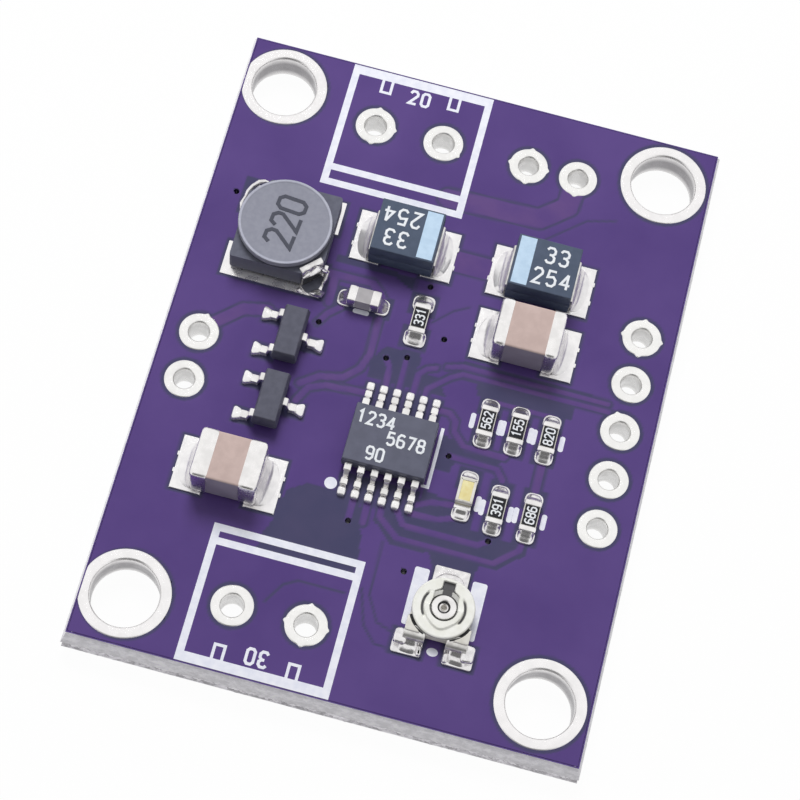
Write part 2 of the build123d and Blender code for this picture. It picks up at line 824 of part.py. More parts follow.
with BuildPart() as tantalum_solder:
    beds = [solder_bed(place, turn, strap_face - tantalum_strap_fold, strap_face, power_pad_width)
            for place, turn in tantalum_ends]
    toes = [solder_toe(place, turn, strap_face, tantalum_toe, tantalum_solder_rise)
            for place, turn in tantalum_ends]
    extrude(all_of(beds), amount=solder_film)
    extrude(all_of(toes), amount=power_pad_width / 2, both=True)

with BuildPart() as ceramic_solder:
    beds = [solder_bed(place, turn, ceramic_length / 2 - cap, ceramic_length / 2, power_pad_width)
            for place, turn, cap in ceramic_ends]
    toes = [solder_toe(place, turn, ceramic_length / 2, power_pad_toe, ceramic_solder_rise)
            for place, turn, cap in ceramic_ends]
    extrude(all_of(beds), amount=solder_film)
    extrude(all_of(toes), amount=power_pad_width / 2, both=True)

# Resistors
chip_body_width = chip_width - 2 * chip_cap_wall
chip_body_length = chip_length - 2 * chip_cap_wall
resistor_body_height = resistor_height - 2 * chip_cap_wall

with BuildPart() as resistor_bodies:
    with BuildSketch(level(seat + chip_cap_wall)):
        with Locations(*resistor_places):
            Rectangle(chip_body_width, chip_body_length)
    extrude(amount=resistor_body_height)

with BuildPart() as resistor_coatings:
    with BuildSketch(level(seat + chip_cap_wall + resistor_body_height)):
        with Locations(*resistor_places):
            Rectangle(chip_body_width - 2 * resistor_coating_inset, chip_length - 2 * chip_cap_length)
    extrude(amount=resistor_coating)


def end_caps(ends, height):
    """Wrapped metal caps: each end gives its part's place, its direction and its cap's length."""
    with BuildSketch(level(seat)) as caps:
        for place, turn, length in ends:
            with Locations(Location(moved(place, turn, (chip_length - length) / 2), turn)):
                Rectangle(length, chip_width)
    with BuildSketch(level(seat + chip_cap_wall)) as body_spaces:
        for place, turn, length in ends:
            with Locations(Location(place, turn)):
                Rectangle(chip_body_length, chip_body_width)
    extrude(caps.sketch, amount=height)
    extrude(body_spaces.sketch, amount=height - 2 * chip_cap_wall, mode=Mode.SUBTRACT)


resistor_ends = [(place, turn, chip_cap_length) for place in resistor_places for turn in (90, -90)]

with BuildPart() as resistor_caps:
    end_caps(resistor_ends, resistor_height)

resistor_numbers = ("331", "562", "155", "820", "391", "686")
coating_top = seat + chip_cap_wall + resistor_body_height + resistor_coating

with BuildPart() as resistor_marks:
    digit_size = (resistor_mark_height, resistor_mark_line, resistor_mark_spacing)
    resistor_digits = [
        printed_row(number, turned_plane(place, coating_top, 90), *digit_size)
        for place, number in zip(resistor_places, resistor_numbers)
    ]
    extrude(all_of(resistor_digits), amount=print_thickness)

# Small ceramic capacitor
with BuildPart() as small_capacitor_body:
    with BuildSketch(Plane(origin=(*small_capacitor_place, seat + chip_cap_wall))):
        Rectangle(chip_body_length, chip_body_width)
    extrude(amount=small_capacitor_height - 2 * chip_cap_wall)

with BuildPart() as small_capacitor_caps:
    end_caps([(small_capacitor_place, turn, chip_cap_length) for turn in (0, 180)], small_capacitor_height)

# Indicator lamp: its lens stands between two unequal caps
lamp_lens_length = chip_length - lamp_cap_upper - lamp_cap_lower
lamp_lens_centre = moved(lamp_place, 90, (lamp_cap_lower - lamp_cap_upper) / 2)

with BuildPart() as lamp_body:
    with BuildSketch(Plane(origin=(*lamp_place, seat + chip_cap_wall))):
        Rectangle(chip_body_width, chip_body_length)
    extrude(amount=lamp_base_height - 2 * chip_cap_wall)

with BuildPart() as lamp_lens:
    with BuildSketch(Plane(origin=(*lamp_lens_centre, seat + lamp_base_height - chip_cap_wall))):
        Rectangle(chip_width, lamp_lens_length)
    extrude(amount=lamp_lens_height + chip_cap_wall, taper=lamp_lens_draft)

with BuildPart() as lamp_caps:
    end_caps([(lamp_place, 90, lamp_cap_upper), (lamp_place, -90, lamp_cap_lower)], lamp_base_height)

# Pads and solder of the small parts. The first resistor's pads are larger, and the pads of the
# others reach further upwards.
first_resistor = resistor_places[0]
shifted_places = [moved(place, 90, resistor_pad_shift) for place in resistor_places[1:]]
narrow_pad = (chip_length / 2, chip_pad_toe, chip_pad_length, chip_pad_width)
wide_pad = (chip_length / 2, wide_pad_toe, chip_pad_length + wide_pad_toe - chip_pad_toe, wide_pad_width)

with BuildPart() as chip_pads:
    upright_pads = end_pads(shifted_places + [lamp_place], 90, *narrow_pad)
    first_pads = end_pads([first_resistor], 90, *wide_pad)
    level_pads = end_pads([small_capacitor_place], 0, *narrow_pad)
    extrude(upright_pads + first_pads + level_pads, amount=pad_thickness)

chip_ends = []
for turn in (90, -90):
    shift = resistor_pad_shift * turn / 90
    chip_ends.append((first_resistor, turn, wide_pad_toe, resistor_solder_rise, wide_pad_width))
    chip_ends.append((lamp_place, turn, chip_pad_toe, lamp_solder_rise, chip_width))
    chip_ends += [(place, turn, chip_pad_toe + shift, resistor_solder_rise, chip_width)
                  for place in resistor_places[1:]]
chip_ends += [(small_capacitor_place, turn, chip_pad_toe, small_capacitor_solder_rise, chip_width)
              for turn in (0, 180)]

with BuildPart() as chip_solder:
    beds = [solder_bed(place, turn, chip_length / 2 - chip_cap_length, chip_length / 2, width)
            for place, turn, toe, rise, width in chip_ends]
    extrude(all_of(beds), amount=solder_film)
    for place, turn, toe, rise, width in chip_ends:
        extrude(solder_toe(place, turn, chip_length / 2, toe, rise), amount=width / 2, both=True)


# Three-legged parts: two legs to the left and one to the right
tripod_places = (tripod_upper_place, tripod_lower_place)
tripod_bottom = seat + tripod_standoff
tripod_mid = tripod_bottom + tripod_parting
tripod_top = tripod_bottom + tripod_height
tripod_sizes = (tripod_width, tripod_length, tripod_bottom, tripod_mid, tripod_top, tripod_draft)


def moulded_body(place, across, along, bottom, parting, top, draft):
    """Moulded block with its widest section at the parting height."""
    with BuildSketch(Plane(origin=(*place, parting))) as section:
        Rectangle(across, along)
    extrude(section.sketch, amount=top - parting, taper=draft)
    extrude(section.sketch, amount=parting - bottom, dir=(0, 0, -1), taper=draft)


with BuildPart() as upper_tripod_body:
    moulded_body(tripod_upper_place, *tripod_sizes)

with BuildPart() as lower_tripod_body:
    moulded_body(tripod_lower_place, *tripod_sizes)


def wing_leg(place, turn, body_half, half_span, foot, height, thickness):
    """Side view of a gull-wing leg: out of the body, down and outwards to a flat foot."""
    knee = (body_half + half_span - foot) / 2
    low = seat + thickness / 2
    with BuildSketch(upright(place, turn)) as leg:
        with BuildLine():
            FilletPolyline(
                (body_half, height),
                (knee, height),
                (half_span - foot, low),
                (half_span, low),
                radius=thickness * leg_bend,
            )
            offset(amount=thickness / 2, side=Side.LEFT)
        make_face()
    return leg.sketch.faces()


tripod_leg_rows = ((180, -tripod_leg_pitch / 2), (180, tripod_leg_pitch / 2), (0, 0))
tripod_legs_at = [
    (moved(place, turn, 0, sideways), turn)
    for place in tripod_places
    for turn, sideways in tripod_leg_rows
]

with BuildPart() as tripod_legs:
    leg_shape = (tripod_width / 2, tripod_span / 2, tripod_foot, tripod_mid, tripod_leg_thickness)
    legs = [wing_leg(place, turn, *leg_shape) for place, turn in tripod_legs_at]
    extrude(all_of(legs), amount=tripod_leg_width / 2, both=True)

with BuildPart() as tripod_pads:
    with BuildSketch(level(board_top)):
        reach = tripod_span / 2 + tripod_pad_toe - tripod_pad_length / 2
        with Locations(*[moved(place, turn, reach) for place, turn in tripod_legs_at]):
            Rectangle(tripod_pad_length, tripod_pad_width)
    extrude(amount=pad_thickness)

with BuildPart() as tripod_solder:
    beds = [solder_bed(place, turn, tripod_span / 2 - tripod_foot, tripod_span / 2, tripod_leg_width)
            for place, turn in tripod_legs_at]
    toes = [solder_toe(place, turn, tripod_span / 2, tripod_pad_toe, leg_solder_rise)
            for place, turn in tripod_legs_at]
    extrude(all_of(beds), amount=solder_film)
    extrude(all_of(toes), amount=tripod_leg_width / 2, both=True)

# Controller chip
controller_bottom = seat + controller_standoff
controller_mid = controller_bottom + controller_height / 2
controller_top = controller_bottom + controller_height
controller_half_span = controller_span / 2

with BuildPart() as controller_body:
    moulded_body(controller_place, controller_length, controller_width, controller_bottom, controller_mid,
                 controller_top, controller_draft)

controller_legs_at = [
    (place, turn)
    for turn in (90, -90)
    for place in row(controller_place, controller_leg_pitch, controller_leg_count)
]

with BuildPart() as controller_legs:
    leg_shape = (controller_width / 2, controller_half_span, controller_foot, controller_mid,
                 controller_leg_thickness)
    legs = [wing_leg(place, turn, *leg_shape) for place, turn in controller_legs_at]
    extrude(all_of(legs), amount=controller_leg_width / 2, both=True)

with BuildPart() as controller_pads:
    with BuildSketch(level(board_top)):
        reach = controller_half_span + controller_pad_toe - controller_pad_length / 2
        with Locations(*[moved(place, turn, reach) for place, turn in controller_legs_at]):
            Rectangle(controller_pad_width, controller_pad_length)
    extrude(amount=pad_thickness)

with BuildPart() as controller_solder:
    heel = controller_half_span - controller_foot
    beds = [solder_bed(place, turn, heel, controller_half_span, controller_leg_width)
            for place, turn in controller_legs_at]
    toes = [solder_toe(place, turn, controller_half_span, controller_pad_toe, leg_solder_rise)
            for place, turn in controller_legs_at]
    extrude(all_of(beds), amount=solder_film)
    extrude(all_of(toes), amount=controller_leg_width / 2, both=True)

controller_rows = (
    ("1234", controller_first_row),
    ("5678", controller_second_row),
    ("90", controller_third_row),
)

with BuildPart() as controller_mark:
    mark_size = (controller_mark_height, controller_mark_line, controller_mark_spacing)
    for number, shift in controller_rows:
        row_plane = turned_plane(moved(controller_place, 0, *shift), controller_top, 0)
        extrude(printed_row(number, row_plane, *mark_size), amount=print_thickness)


# Trimmer
trimmer_seat = seat + trimmer_strap
trimmer_base_top = trimmer_seat + trimmer_base_height
trimmer_rotor_bottom = trimmer_base_top + trimmer_track_thickness + trimmer_rotor_gap
trimmer_rotor_top = trimmer_rotor_bottom + trimmer_rotor_thickness
trimmer_head_bottom = trimmer_rotor_top + trimmer_clearance
trimmer_head_top = trimmer_head_bottom + trimmer_head_thickness

with BuildPart() as trimmer_base:
    with BuildSketch(Plane(origin=(trimmer_x, trimmer_y, trimmer_seat))):
        Circle(trimmer_base_radius)
        with Locations((0, -trimmer_base_reach / 2)):
            Rectangle(trimmer_base_width, trimmer_base_reach)
        Circle(trimmer_eyelet_radius, mode=Mode.SUBTRACT)
    extrude(amount=trimmer_base_height)

# The track is open towards the end terminals
with BuildPart() as trimmer_track:
    with BuildSketch(Plane(origin=(trimmer_x, trimmer_y, trimmer_base_top))):
        Circle(trimmer_track_outer)
        Circle(trimmer_track_inner, mode=Mode.SUBTRACT)
        with Locations((0, -trimmer_track_outer)):
            Rectangle(trimmer_track_gap, 2 * trimmer_track_outer, mode=Mode.SUBTRACT)
    extrude(amount=trimmer_track_thickness)

# A disc with a raised ring round the eyelet's head, and a screwdriver slot
with BuildPart() as trimmer_rotor:
    with BuildSketch(Plane(origin=(trimmer_x, trimmer_y, trimmer_rotor_bottom))) as rotor_disc:
        Circle(trimmer_rotor_radius)
        Circle(trimmer_eyelet_radius + trimmer_clearance, mode=Mode.SUBTRACT)
    extrude(rotor_disc.sketch, amount=trimmer_rotor_thickness)
    with BuildSketch(Plane(origin=(trimmer_x, trimmer_y, trimmer_rotor_top))) as rotor_ring:
        Circle(trimmer_ring_outer)
        Circle(trimmer_ring_inner, mode=Mode.SUBTRACT)
    extrude(rotor_ring.sketch, amount=trimmer_ring_height)
    with BuildSketch(Plane(origin=(trimmer_x, trimmer_y, trimmer_rotor_bottom))) as slot:
        with Locations((0, (trimmer_ring_inner + trimmer_slot_reach) / 2)):
            Rectangle(trimmer_slot_width, trimmer_slot_reach - trimmer_ring_inner)
    extrude(slot.sketch, amount=trimmer_rotor_thickness + trimmer_ring_height, mode=Mode.SUBTRACT)

with BuildPart() as trimmer_eyelet:
    with BuildSketch(Plane(origin=(trimmer_x, trimmer_y, trimmer_seat))) as shank:
        Circle(trimmer_eyelet_radius)
    extrude(shank.sketch, amount=trimmer_head_bottom - trimmer_seat)
    with BuildSketch(Plane(origin=(trimmer_x, trimmer_y, trimmer_head_bottom))) as head:
        Circle(trimmer_head_radius)
    extrude(head.sketch, amount=trimmer_head_thickness)
    with BuildSketch(Plane(origin=(trimmer_x, trimmer_y, trimmer_seat))) as bore:
        Circle(trimmer_eyelet_bore)
    extrude(bore.sketch, amount=trimmer_head_top - trimmer_seat, mode=Mode.SUBTRACT)

# The wiper's terminal is a flat strap that runs under the base from the eyelet to the upper end
with BuildPart() as trimmer_wiper_terminal:
    with BuildSketch(level(seat)):
        with Locations((trimmer_x, trimmer_y + (trimmer_wiper_reach - trimmer_eyelet_radius) / 2)):
            Rectangle(trimmer_wiper_width, trimmer_wiper_reach + trimmer_eyelet_radius)
    extrude(amount=trimmer_strap)

# Each end terminal is folded under the base and swells out in front of it
trimmer_end_places = [(trimmer_x + side * trimmer_end_offset, trimmer_y) for side in (-1, 1)]
trimmer_end_face = trimmer_base_reach + trimmer_end_bulge

with BuildPart() as trimmer_end_terminals:
    for place in trimmer_end_places:
        with BuildSketch(upright(place, -90)) as end_strap:
            with BuildLine():
                bulge = RadiusArc(
                    (trimmer_base_reach, trimmer_base_top),
                    (trimmer_end_face, seat),
                    trimmer_base_top - seat,
                )
                Polyline(
                    bulge @ 1,
                    (trimmer_base_reach - trimmer_end_fold, seat),
                    (trimmer_base_reach - trimmer_end_fold, trimmer_seat),
                    (trimmer_base_reach, trimmer_seat),
                    bulge @ 0,
                )
            make_face()
        extrude(end_strap.sketch, amount=trimmer_end_width / 2, both=True)

wiper_pad_reach = trimmer_wiper_reach + trimmer_wiper_pad_toe
end_pad_reach = trimmer_end_face + trimmer_end_pad_toe

with BuildPart() as trimmer_pads:
    with BuildSketch(level(board_top)):
        with Locations((trimmer_x, trimmer_y + wiper_pad_reach - trimmer_wiper_pad_length / 2)):
            Rectangle(trimmer_wiper_width, trimmer_wiper_pad_length)
        for side in (-1, 1):
            with Locations((trimmer_x + side * trimmer_end_pad_offset,
                            trimmer_y - end_pad_reach + trimmer_end_pad_length / 2)):
                Rectangle(trimmer_end_pad_width, trimmer_end_pad_length)
    extrude(amount=pad_thickness)

with BuildPart() as trimmer_solder:
    wiper_heel = wiper_pad_reach - trimmer_wiper_pad_length
    wiper_bed = solder_bed(trimmer_place, 90, wiper_heel, trimmer_wiper_reach, trimmer_wiper_width)
    wiper_slope = (trimmer_wiper_reach, trimmer_wiper_pad_toe, trimmer_wiper_solder_rise)
    wiper_toe = solder_toe(trimmer_place, 90, *wiper_slope)
    end_heel = end_pad_reach - trimmer_end_pad_length
    end_beds = [solder_bed(place, -90, end_heel, trimmer_end_face, trimmer_end_width)
                for place in trimmer_end_places]
    extrude(wiper_bed + all_of(end_beds), amount=solder_film)
    extrude(wiper_toe, amount=trimmer_wiper_width / 2, both=True)
    for side in (-1, 1):
        place = (trimmer_x + side * trimmer_end_pad_offset, trimmer_y)
        end_toe = solder_toe(place, -90, trimmer_end_face, trimmer_end_pad_toe, trimmer_end_solder_rise)
        extrude(end_toe, amount=trimmer_end_pad_width / 2, both=True)


pieces = {
    "circuit_board": circuit_board,
    "mounting_hole_plating": mounting_hole_plating,
    "header_hole_plating": header_hole_plating,
    "left_pair_plating": left_pair_plating,
    "right_pair_plating": right_pair_plating,
    "upper_terminal_plating": upper_terminal_plating,
    "lower_terminal_plating": lower_terminal_plating,
    "via_plating": via_plating,
    "terminal_outlines": terminal_outlines,
    "part_marks": part_marks,
    "inductor_base": inductor_base,
    "inductor_core": inductor_core,
    "inductor_winding": inductor_winding,
    "inductor_terminals": inductor_terminals,
    "inductor_mark": inductor_mark,
    "inductor_pads": inductor_pads,
    "inductor_solder": inductor_solder,
    "left_tantalum_body": left_tantalum_body,
    "right_tantalum_body": right_tantalum_body,
    "tantalum_straps": tantalum_straps,
    "tantalum_stripes": tantalum_stripes,
    "tantalum_marks": tantalum_marks,
    "tantalum_solder": tantalum_solder,
    "upper_ceramic_body": upper_ceramic_body,
    "lower_ceramic_body": lower_ceramic_body,
    "ceramic_end_caps": ceramic_end_caps,
    "ceramic_solder": ceramic_solder,
    "power_pads": power_pads,
    "resistor_bodies": resistor_bodies,
    "resistor_coatings": resistor_coatings,
    "resistor_caps": resistor_caps,
    "resistor_marks": resistor_marks,
    "small_capacitor_body": small_capacitor_body,
    "small_capacitor_caps": small_capacitor_caps,
    "lamp_body": lamp_body,
    "lamp_lens": lamp_lens,
    "lamp_caps": lamp_caps,
    "chip_pads": chip_pads,
    "chip_solder": chip_solder,
    "upper_tripod_body": upper_tripod_body,
    "lower_tripod_body": lower_tripod_body,
    "tripod_legs": tripod_legs,
    "tripod_pads": tripod_pads,
    "tripod_solder": tripod_solder,
    "controller_body": controller_body,
    "controller_legs": controller_legs,
    "controller_pads": controller_pads,
    "controller_solder": controller_solder,
    "controller_mark": controller_mark,
    "trimmer_base": trimmer_base,
    "trimmer_track": trimmer_track,
    "trimmer_rotor": trimmer_rotor,
    "trimmer_eyelet": trimmer_eyelet,
    "trimmer_wiper_terminal": trimmer_wiper_terminal,
    "trimmer_end_terminals": trimmer_end_terminals,
    "trimmer_pads": trimmer_pads,
    "trimmer_solder": trimmer_solder,
}

os.makedirs("parts", exist_ok=True)
for name, piece in pieces.items():
    piece.part.label = name
    export_step(piece.part, f"parts/{name}.step")
    print(name, len(piece.part.solids()), "solids")
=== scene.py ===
# %% [markdown]
# # A solar charge controller module, dressed for the camera
# The real object is a purple circuit board as long as a thumb, with small parts soldered on it.
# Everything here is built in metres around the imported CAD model, which stays where it is.
# Each step first says what the real thing is, and then how it is made.

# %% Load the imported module
import math

import bmesh
import bpy
import numpy as np
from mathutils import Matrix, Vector, noise


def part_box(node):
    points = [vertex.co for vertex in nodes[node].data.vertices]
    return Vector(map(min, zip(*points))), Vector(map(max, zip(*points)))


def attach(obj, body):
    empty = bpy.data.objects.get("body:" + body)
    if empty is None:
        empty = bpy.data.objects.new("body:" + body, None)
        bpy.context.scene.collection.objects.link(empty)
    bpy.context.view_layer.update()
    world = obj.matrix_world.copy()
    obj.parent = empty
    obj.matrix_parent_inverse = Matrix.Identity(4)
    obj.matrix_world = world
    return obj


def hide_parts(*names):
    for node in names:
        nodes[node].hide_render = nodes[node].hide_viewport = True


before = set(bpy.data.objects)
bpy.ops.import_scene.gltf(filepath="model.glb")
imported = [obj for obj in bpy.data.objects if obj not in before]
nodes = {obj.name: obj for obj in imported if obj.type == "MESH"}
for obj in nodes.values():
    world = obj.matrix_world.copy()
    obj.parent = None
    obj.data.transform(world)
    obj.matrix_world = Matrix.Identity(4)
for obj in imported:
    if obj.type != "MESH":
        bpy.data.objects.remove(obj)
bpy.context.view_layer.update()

# %% [markdown]
# ## Camera
# The photograph looks down on the board from its lower side, slightly turned, through a long lens.
# The place and the turn come from the board's holes, whose pitches are known, so the camera is set
# by its matrix instead of by eye.

# %% Camera
MM = 0.001
camera_place = (2.919 * MM, -44.435 * MM, 105.150 * MM)
camera_turn = (0.39125, -0.07398, 0.24847)
camera_lens = 106.14

lens = bpy.data.cameras.new("photo_lens")
lens.lens = camera_lens
lens.sensor_width = 36
lens.clip_start = 0.005
lens.clip_end = 5
camera = bpy.data.objects.new("photo_camera", lens)
camera.location = camera_place
camera.rotation_euler = camera_turn
bpy.context.scene.collection.objects.link(camera)
bpy.context.scene.camera = camera
bpy.context.scene.view_settings.view_transform = "Standard"
print("camera looks from", [round(v / MM, 1) for v in camera_place], "mm")

# %% [markdown]
# ## Helpers for finishes
# Every finish is a Principled surface with a few noises for what a lens this close would show.
# Colours are typed as the six-digit values that a picture editor shows, and turned into the linear
# values that the renderer works with.


# %% Helpers for finishes
def paint(code):
    """A colour written as six hexadecimal digits, as linear red, green, blue and alpha."""
    shown = [int(code[i:i + 2], 16) / 255 for i in (0, 2, 4)]
    linear = [v / 12.92 if v <= 0.04045 else ((v + 0.055) / 1.055) ** 2.4 for v in shown]
    return (*linear, 1.0)


def finish_of(name, metallic=0.0):
    """A new material with one Principled surface: the material, its tree and the surface."""
    made = bpy.data.materials.new(name)
    made.use_nodes = True
    tree = made.node_tree
    tree.nodes.clear()
    surface = tree.nodes.new("ShaderNodeBsdfPrincipled")
    surface.name = "surface"
    output = tree.nodes.new("ShaderNodeOutputMaterial")
    tree.links.new(surface.outputs["BSDF"], output.inputs["Surface"])
    surface.inputs["Metallic"].default_value = metallic
    return made, tree, surface


def joined(tree, *pairs):
    """Links the first socket of each pair to the second."""
    for start, end in pairs:
        tree.links.new(start, end)


def math_of(tree, operation, second=None):
    """A Math node, with its second number where it has a fixed one."""
    node = tree.nodes.new("ShaderNodeMath")
    node.operation = operation
    if second is not None:
        node.inputs[1].default_value = second
    return node


def range_of(tree, low=0.0, high=1.0, to_low=0.0, to_high=1.0):
    """A Map Range node from one range of values to another."""
    node = tree.nodes.new("ShaderNodeMapRange")
    for label, value in (("From Min", low), ("From Max", high), ("To Min", to_low), ("To Max", to_high)):
        node.inputs[label].default_value = value
    return node


def mix_of(tree, blend="MIX"):
    """A Mix node for colours."""
    node = tree.nodes.new("ShaderNodeMix")
    node.data_type = "RGBA"
    node.blend_type = blend
    return node


def new_group(name, inputs, outputs):
    """An empty node group with named sockets, given as (name, type, default)."""
    group = bpy.data.node_groups.new(name, "ShaderNodeTree")
    for label, kind, value in inputs:
        socket = group.interface.new_socket(label, in_out="INPUT", socket_type="NodeSocket" + kind)
        socket.default_value = value
    for label, kind in outputs:
        group.interface.new_socket(label, in_out="OUTPUT", socket_type="NodeSocket" + kind)
    return group, group.nodes.new("NodeGroupInput"), group.nodes.new("NodeGroupOutput")


def place_group(tree, group, **values):
    """A group placed in a material, with its inputs set by name."""
    node = tree.nodes.new("ShaderNodeGroup")
    node.node_tree = group
    for label, value in values.items():
        node.inputs[label].default_value = value
    return node


def bump_from(tree, surface, height, distance):
    """Puts a Bump node between a height and the surface's normal; distance is in metres."""
    bump = tree.nodes.new("ShaderNodeBump")
    bump.inputs["Distance"].default_value = distance
    joined(tree, (height, bump.inputs["Height"]), (bump.outputs["Normal"], surface.inputs["Normal"]))


# %% [markdown]
# ## Two shared effects
# *Mottle* mixes two colours in soft clouds and gives a second value for the roughness. It stands for
# uneven coating, tinning and firing. *Grit* gives a fine height, for bump. Both read the object's
# own coordinates, so they stay put in every view.

# %% Shared effects
def scale_from(group, size):
    """The scale of a noise whose clouds have a size in millimetres."""
    per_metre = math_of(group, "DIVIDE")
    per_metre.inputs[0].default_value = 1 / MM
    group.links.new(size, per_metre.inputs[1])
    return per_metre.outputs[0]


mottle, mottle_in, mottle_out = new_group(
    "Mottle",
    [("First", "Color", (1, 1, 1, 1)), ("Second", "Color", (0, 0, 0, 1)), ("Size", "Float", 1.0),
     ("Low", "Float", 0.3), ("High", "Float", 0.5)],
    [("Color", "Color"), ("Value", "Float")])
where = mottle.nodes.new("ShaderNodeTexCoord")
clouds = mottle.nodes.new("ShaderNodeTexNoise")
clouds.inputs["Detail"].default_value = 4
spread = range_of(mottle, 0.36, 0.64)
blend = mix_of(mottle)
rough = range_of(mottle)
joined(mottle,
       (where.outputs["Object"], clouds.inputs["Vector"]),
       (scale_from(mottle, mottle_in.outputs["Size"]), clouds.inputs["Scale"]),
       (clouds.outputs["Fac"], spread.inputs["Value"]),
       (spread.outputs["Result"], blend.inputs["Factor"]),
       (mottle_in.outputs["First"], blend.inputs["A"]),
       (mottle_in.outputs["Second"], blend.inputs["B"]),
       (blend.outputs["Result"], mottle_out.inputs["Color"]),
       (spread.outputs["Result"], rough.inputs["Value"]),
       (mottle_in.outputs["Low"], rough.inputs["To Min"]),
       (mottle_in.outputs["High"], rough.inputs["To Max"]),
       (rough.outputs["Result"], mottle_out.inputs["Value"]))

grit, grit_in, grit_out = new_group(
    "Grit", [("Size", "Float", 0.1), ("Detail", "Float", 3.0)], [("Height", "Float")])
where = grit.nodes.new("ShaderNodeTexCoord")
grains = grit.nodes.new("ShaderNodeTexNoise")
joined(grit,
       (where.outputs["Object"], grains.inputs["Vector"]),
       (scale_from(grit, grit_in.outputs["Size"]), grains.inputs["Scale"]),
       (grit_in.outputs["Detail"], grains.inputs["Detail"]),
       (grains.outputs["Fac"], grit_out.inputs["Height"]))
print("shared effects:", [g.name for g in bpy.data.node_groups])


# %% [markdown]
# ## The common recipe
# Most finishes here are the same recipe with other numbers: a mottled colour, a mottled roughness
# and a fine bump. One helper keeps them even. A second one paints shade into a finish near some
# height, where the real thing lies in the shade of its own edge or of its neighbours; where it darkens
# all but a crest, the crest is a painted highlight.


# %% The common recipe
def plain_finish(name, first, second, roughness, cloud, grain, depth, metallic=0.0):
    """A mottled, slightly grained finish. Sizes are in millimetres, the grain's depth in microns."""
    made, tree, surface = finish_of(name, metallic)
    tones = place_group(tree, mottle, First=paint(first), Second=paint(second), Size=cloud,
                        Low=roughness[0], High=roughness[1])
    fine = place_group(tree, grit, Size=grain, Detail=3.0)
    joined(tree, (tones.outputs["Color"], surface.inputs["Base Color"]),
           (tones.outputs["Value"], surface.inputs["Roughness"]))
    bump_from(tree, surface, fine.outputs["Height"], depth * 1e-6)
    return made


def painted_shade_by_height(finish, start, end, tint, middle=0.0):
    """Paints shade into a finish near a middle height: in full up to start away from it, and not beyond
    end.
    """
    tree = finish.node_tree
    base = tree.nodes["surface"].inputs["Base Color"]
    colour = base.links[0].from_socket
    where = tree.nodes.new("ShaderNodeTexCoord")
    parts = tree.nodes.new("ShaderNodeSeparateXYZ")
    lowered = math_of(tree, "SUBTRACT", middle * MM)
    away = math_of(tree, "ABSOLUTE")
    ramp = range_of(tree, start * MM, end * MM)
    fading = mix_of(tree)
    fading.inputs["A"].default_value = paint(tint)
    fading.inputs["B"].default_value = (1, 1, 1, 1)
    product = mix_of(tree, "MULTIPLY")
    product.inputs["Factor"].default_value = 1.0
    joined(tree,
           (where.outputs["Object"], parts.inputs["Vector"]),
           (parts.outputs["Z"], lowered.inputs[0]),
           (lowered.outputs[0], away.inputs[0]),
           (away.outputs[0], ramp.inputs["Value"]),
           (ramp.outputs["Result"], fading.inputs["Factor"]),
           (colour, product.inputs["A"]),
           (fading.outputs["Result"], product.inputs["B"]),
           (product.outputs["Result"], base))


def dress(finish, *names):
    """Gives CAD nodes a finish, in every material slot they have."""
    for name in names:
        for place in nodes[name].material_slots:
            place.material = finish


# %% [markdown]
# ## Metal finishes
# Lands and rings are copper dipped in tin, solder is brighter and flows smooth, and the parts' own
# ends are satin tin. In the white room of the photograph all of them look nearly white, with grey
# where they mirror the board and their neighbours. Halfway down the holes and on the inductor's lower
# straps the grey is painted shade.

# %% Metal finishes
tinned = plain_finish("tinned_copper", "f8f6f6", "f2f0f0", (0.22, 0.34), 0.5, 0.25, 5, 0.9)
hole_tin = plain_finish("hole_tin", "f8f6f6", "f3f1f1", (0.24, 0.36), 0.5, 0.25, 4, 0.9)
# Painted shade: the barrel is darker halfway down the hole.
painted_shade_by_height(hole_tin, 0.275, 0.795, "9c9b9e", middle=0.825)
pin_tin = plain_finish("pin_hole_tin", "f8f7f5", "f3f2f0", (0.24, 0.36), 0.5, 0.25, 4, 0.9)
# Painted shade, lighter: the pins' barrels are darker halfway down the hole.
painted_shade_by_height(pin_tin, 0.475, 0.795, "dededf", middle=0.825)
solder = plain_finish("solder", "f8f6f6", "edebec", (0.14, 0.26), 0.4, 0.22, 10, 0.6)
chip_melt = plain_finish("chip_solder", "f2f0f0", "dcdadb", (0.12, 0.24), 0.3, 0.18, 12, 0.92)
dull_tin_painted_shade = plain_finish("dull_tin_painted_shade", "f4f3f2", "e4e2e1", (0.26, 0.4), 0.3, 0.15, 8, 0.9)
# Painted shade: the inductor's straps are darker below 2.72 mm, under the drum's disc.
painted_shade_by_height(dull_tin_painted_shade, 2.72, 2.92, "929294")
satin_tin = plain_finish("satin_tin", "e8e7e4", "cfcdca", (0.28, 0.42), 0.4, 0.12, 4, 1.0)
cap_tin = plain_finish("cap_tin", "f7f5f4", "ebe9e8", (0.24, 0.36), 0.5, 0.2, 8, 1.0)
# Painted shade: the via bores take a darker copy of the mask's purple.
via_wall = plain_finish("via_wall", "2f2652", "3a3060", (0.3, 0.45), 0.3, 0.1, 4)
print("metals:", tinned.name, solder.name, satin_tin.name)

# %% [markdown]
# ## Finishes of the small parts
# Moulded cases are dark and slightly sandy, ceramics are fired and matt, and glazes are glassy.

# %% Finishes of the small parts
dark_case = plain_finish("dark_case", "434f63", "4c576b", (0.42, 0.55), 0.35, 0.05, 3)
tripod_case = plain_finish("tripod_case", "4f505e", "5a5b69", (0.45, 0.6), 0.3, 0.05, 3)
chip_case = plain_finish("chip_case", "565869", "5f6172", (0.38, 0.5), 0.5, 0.04, 2)
ferrite = plain_finish("ferrite", "adafbe", "b7b9c7", (0.45, 0.6), 0.25, 0.05, 4)
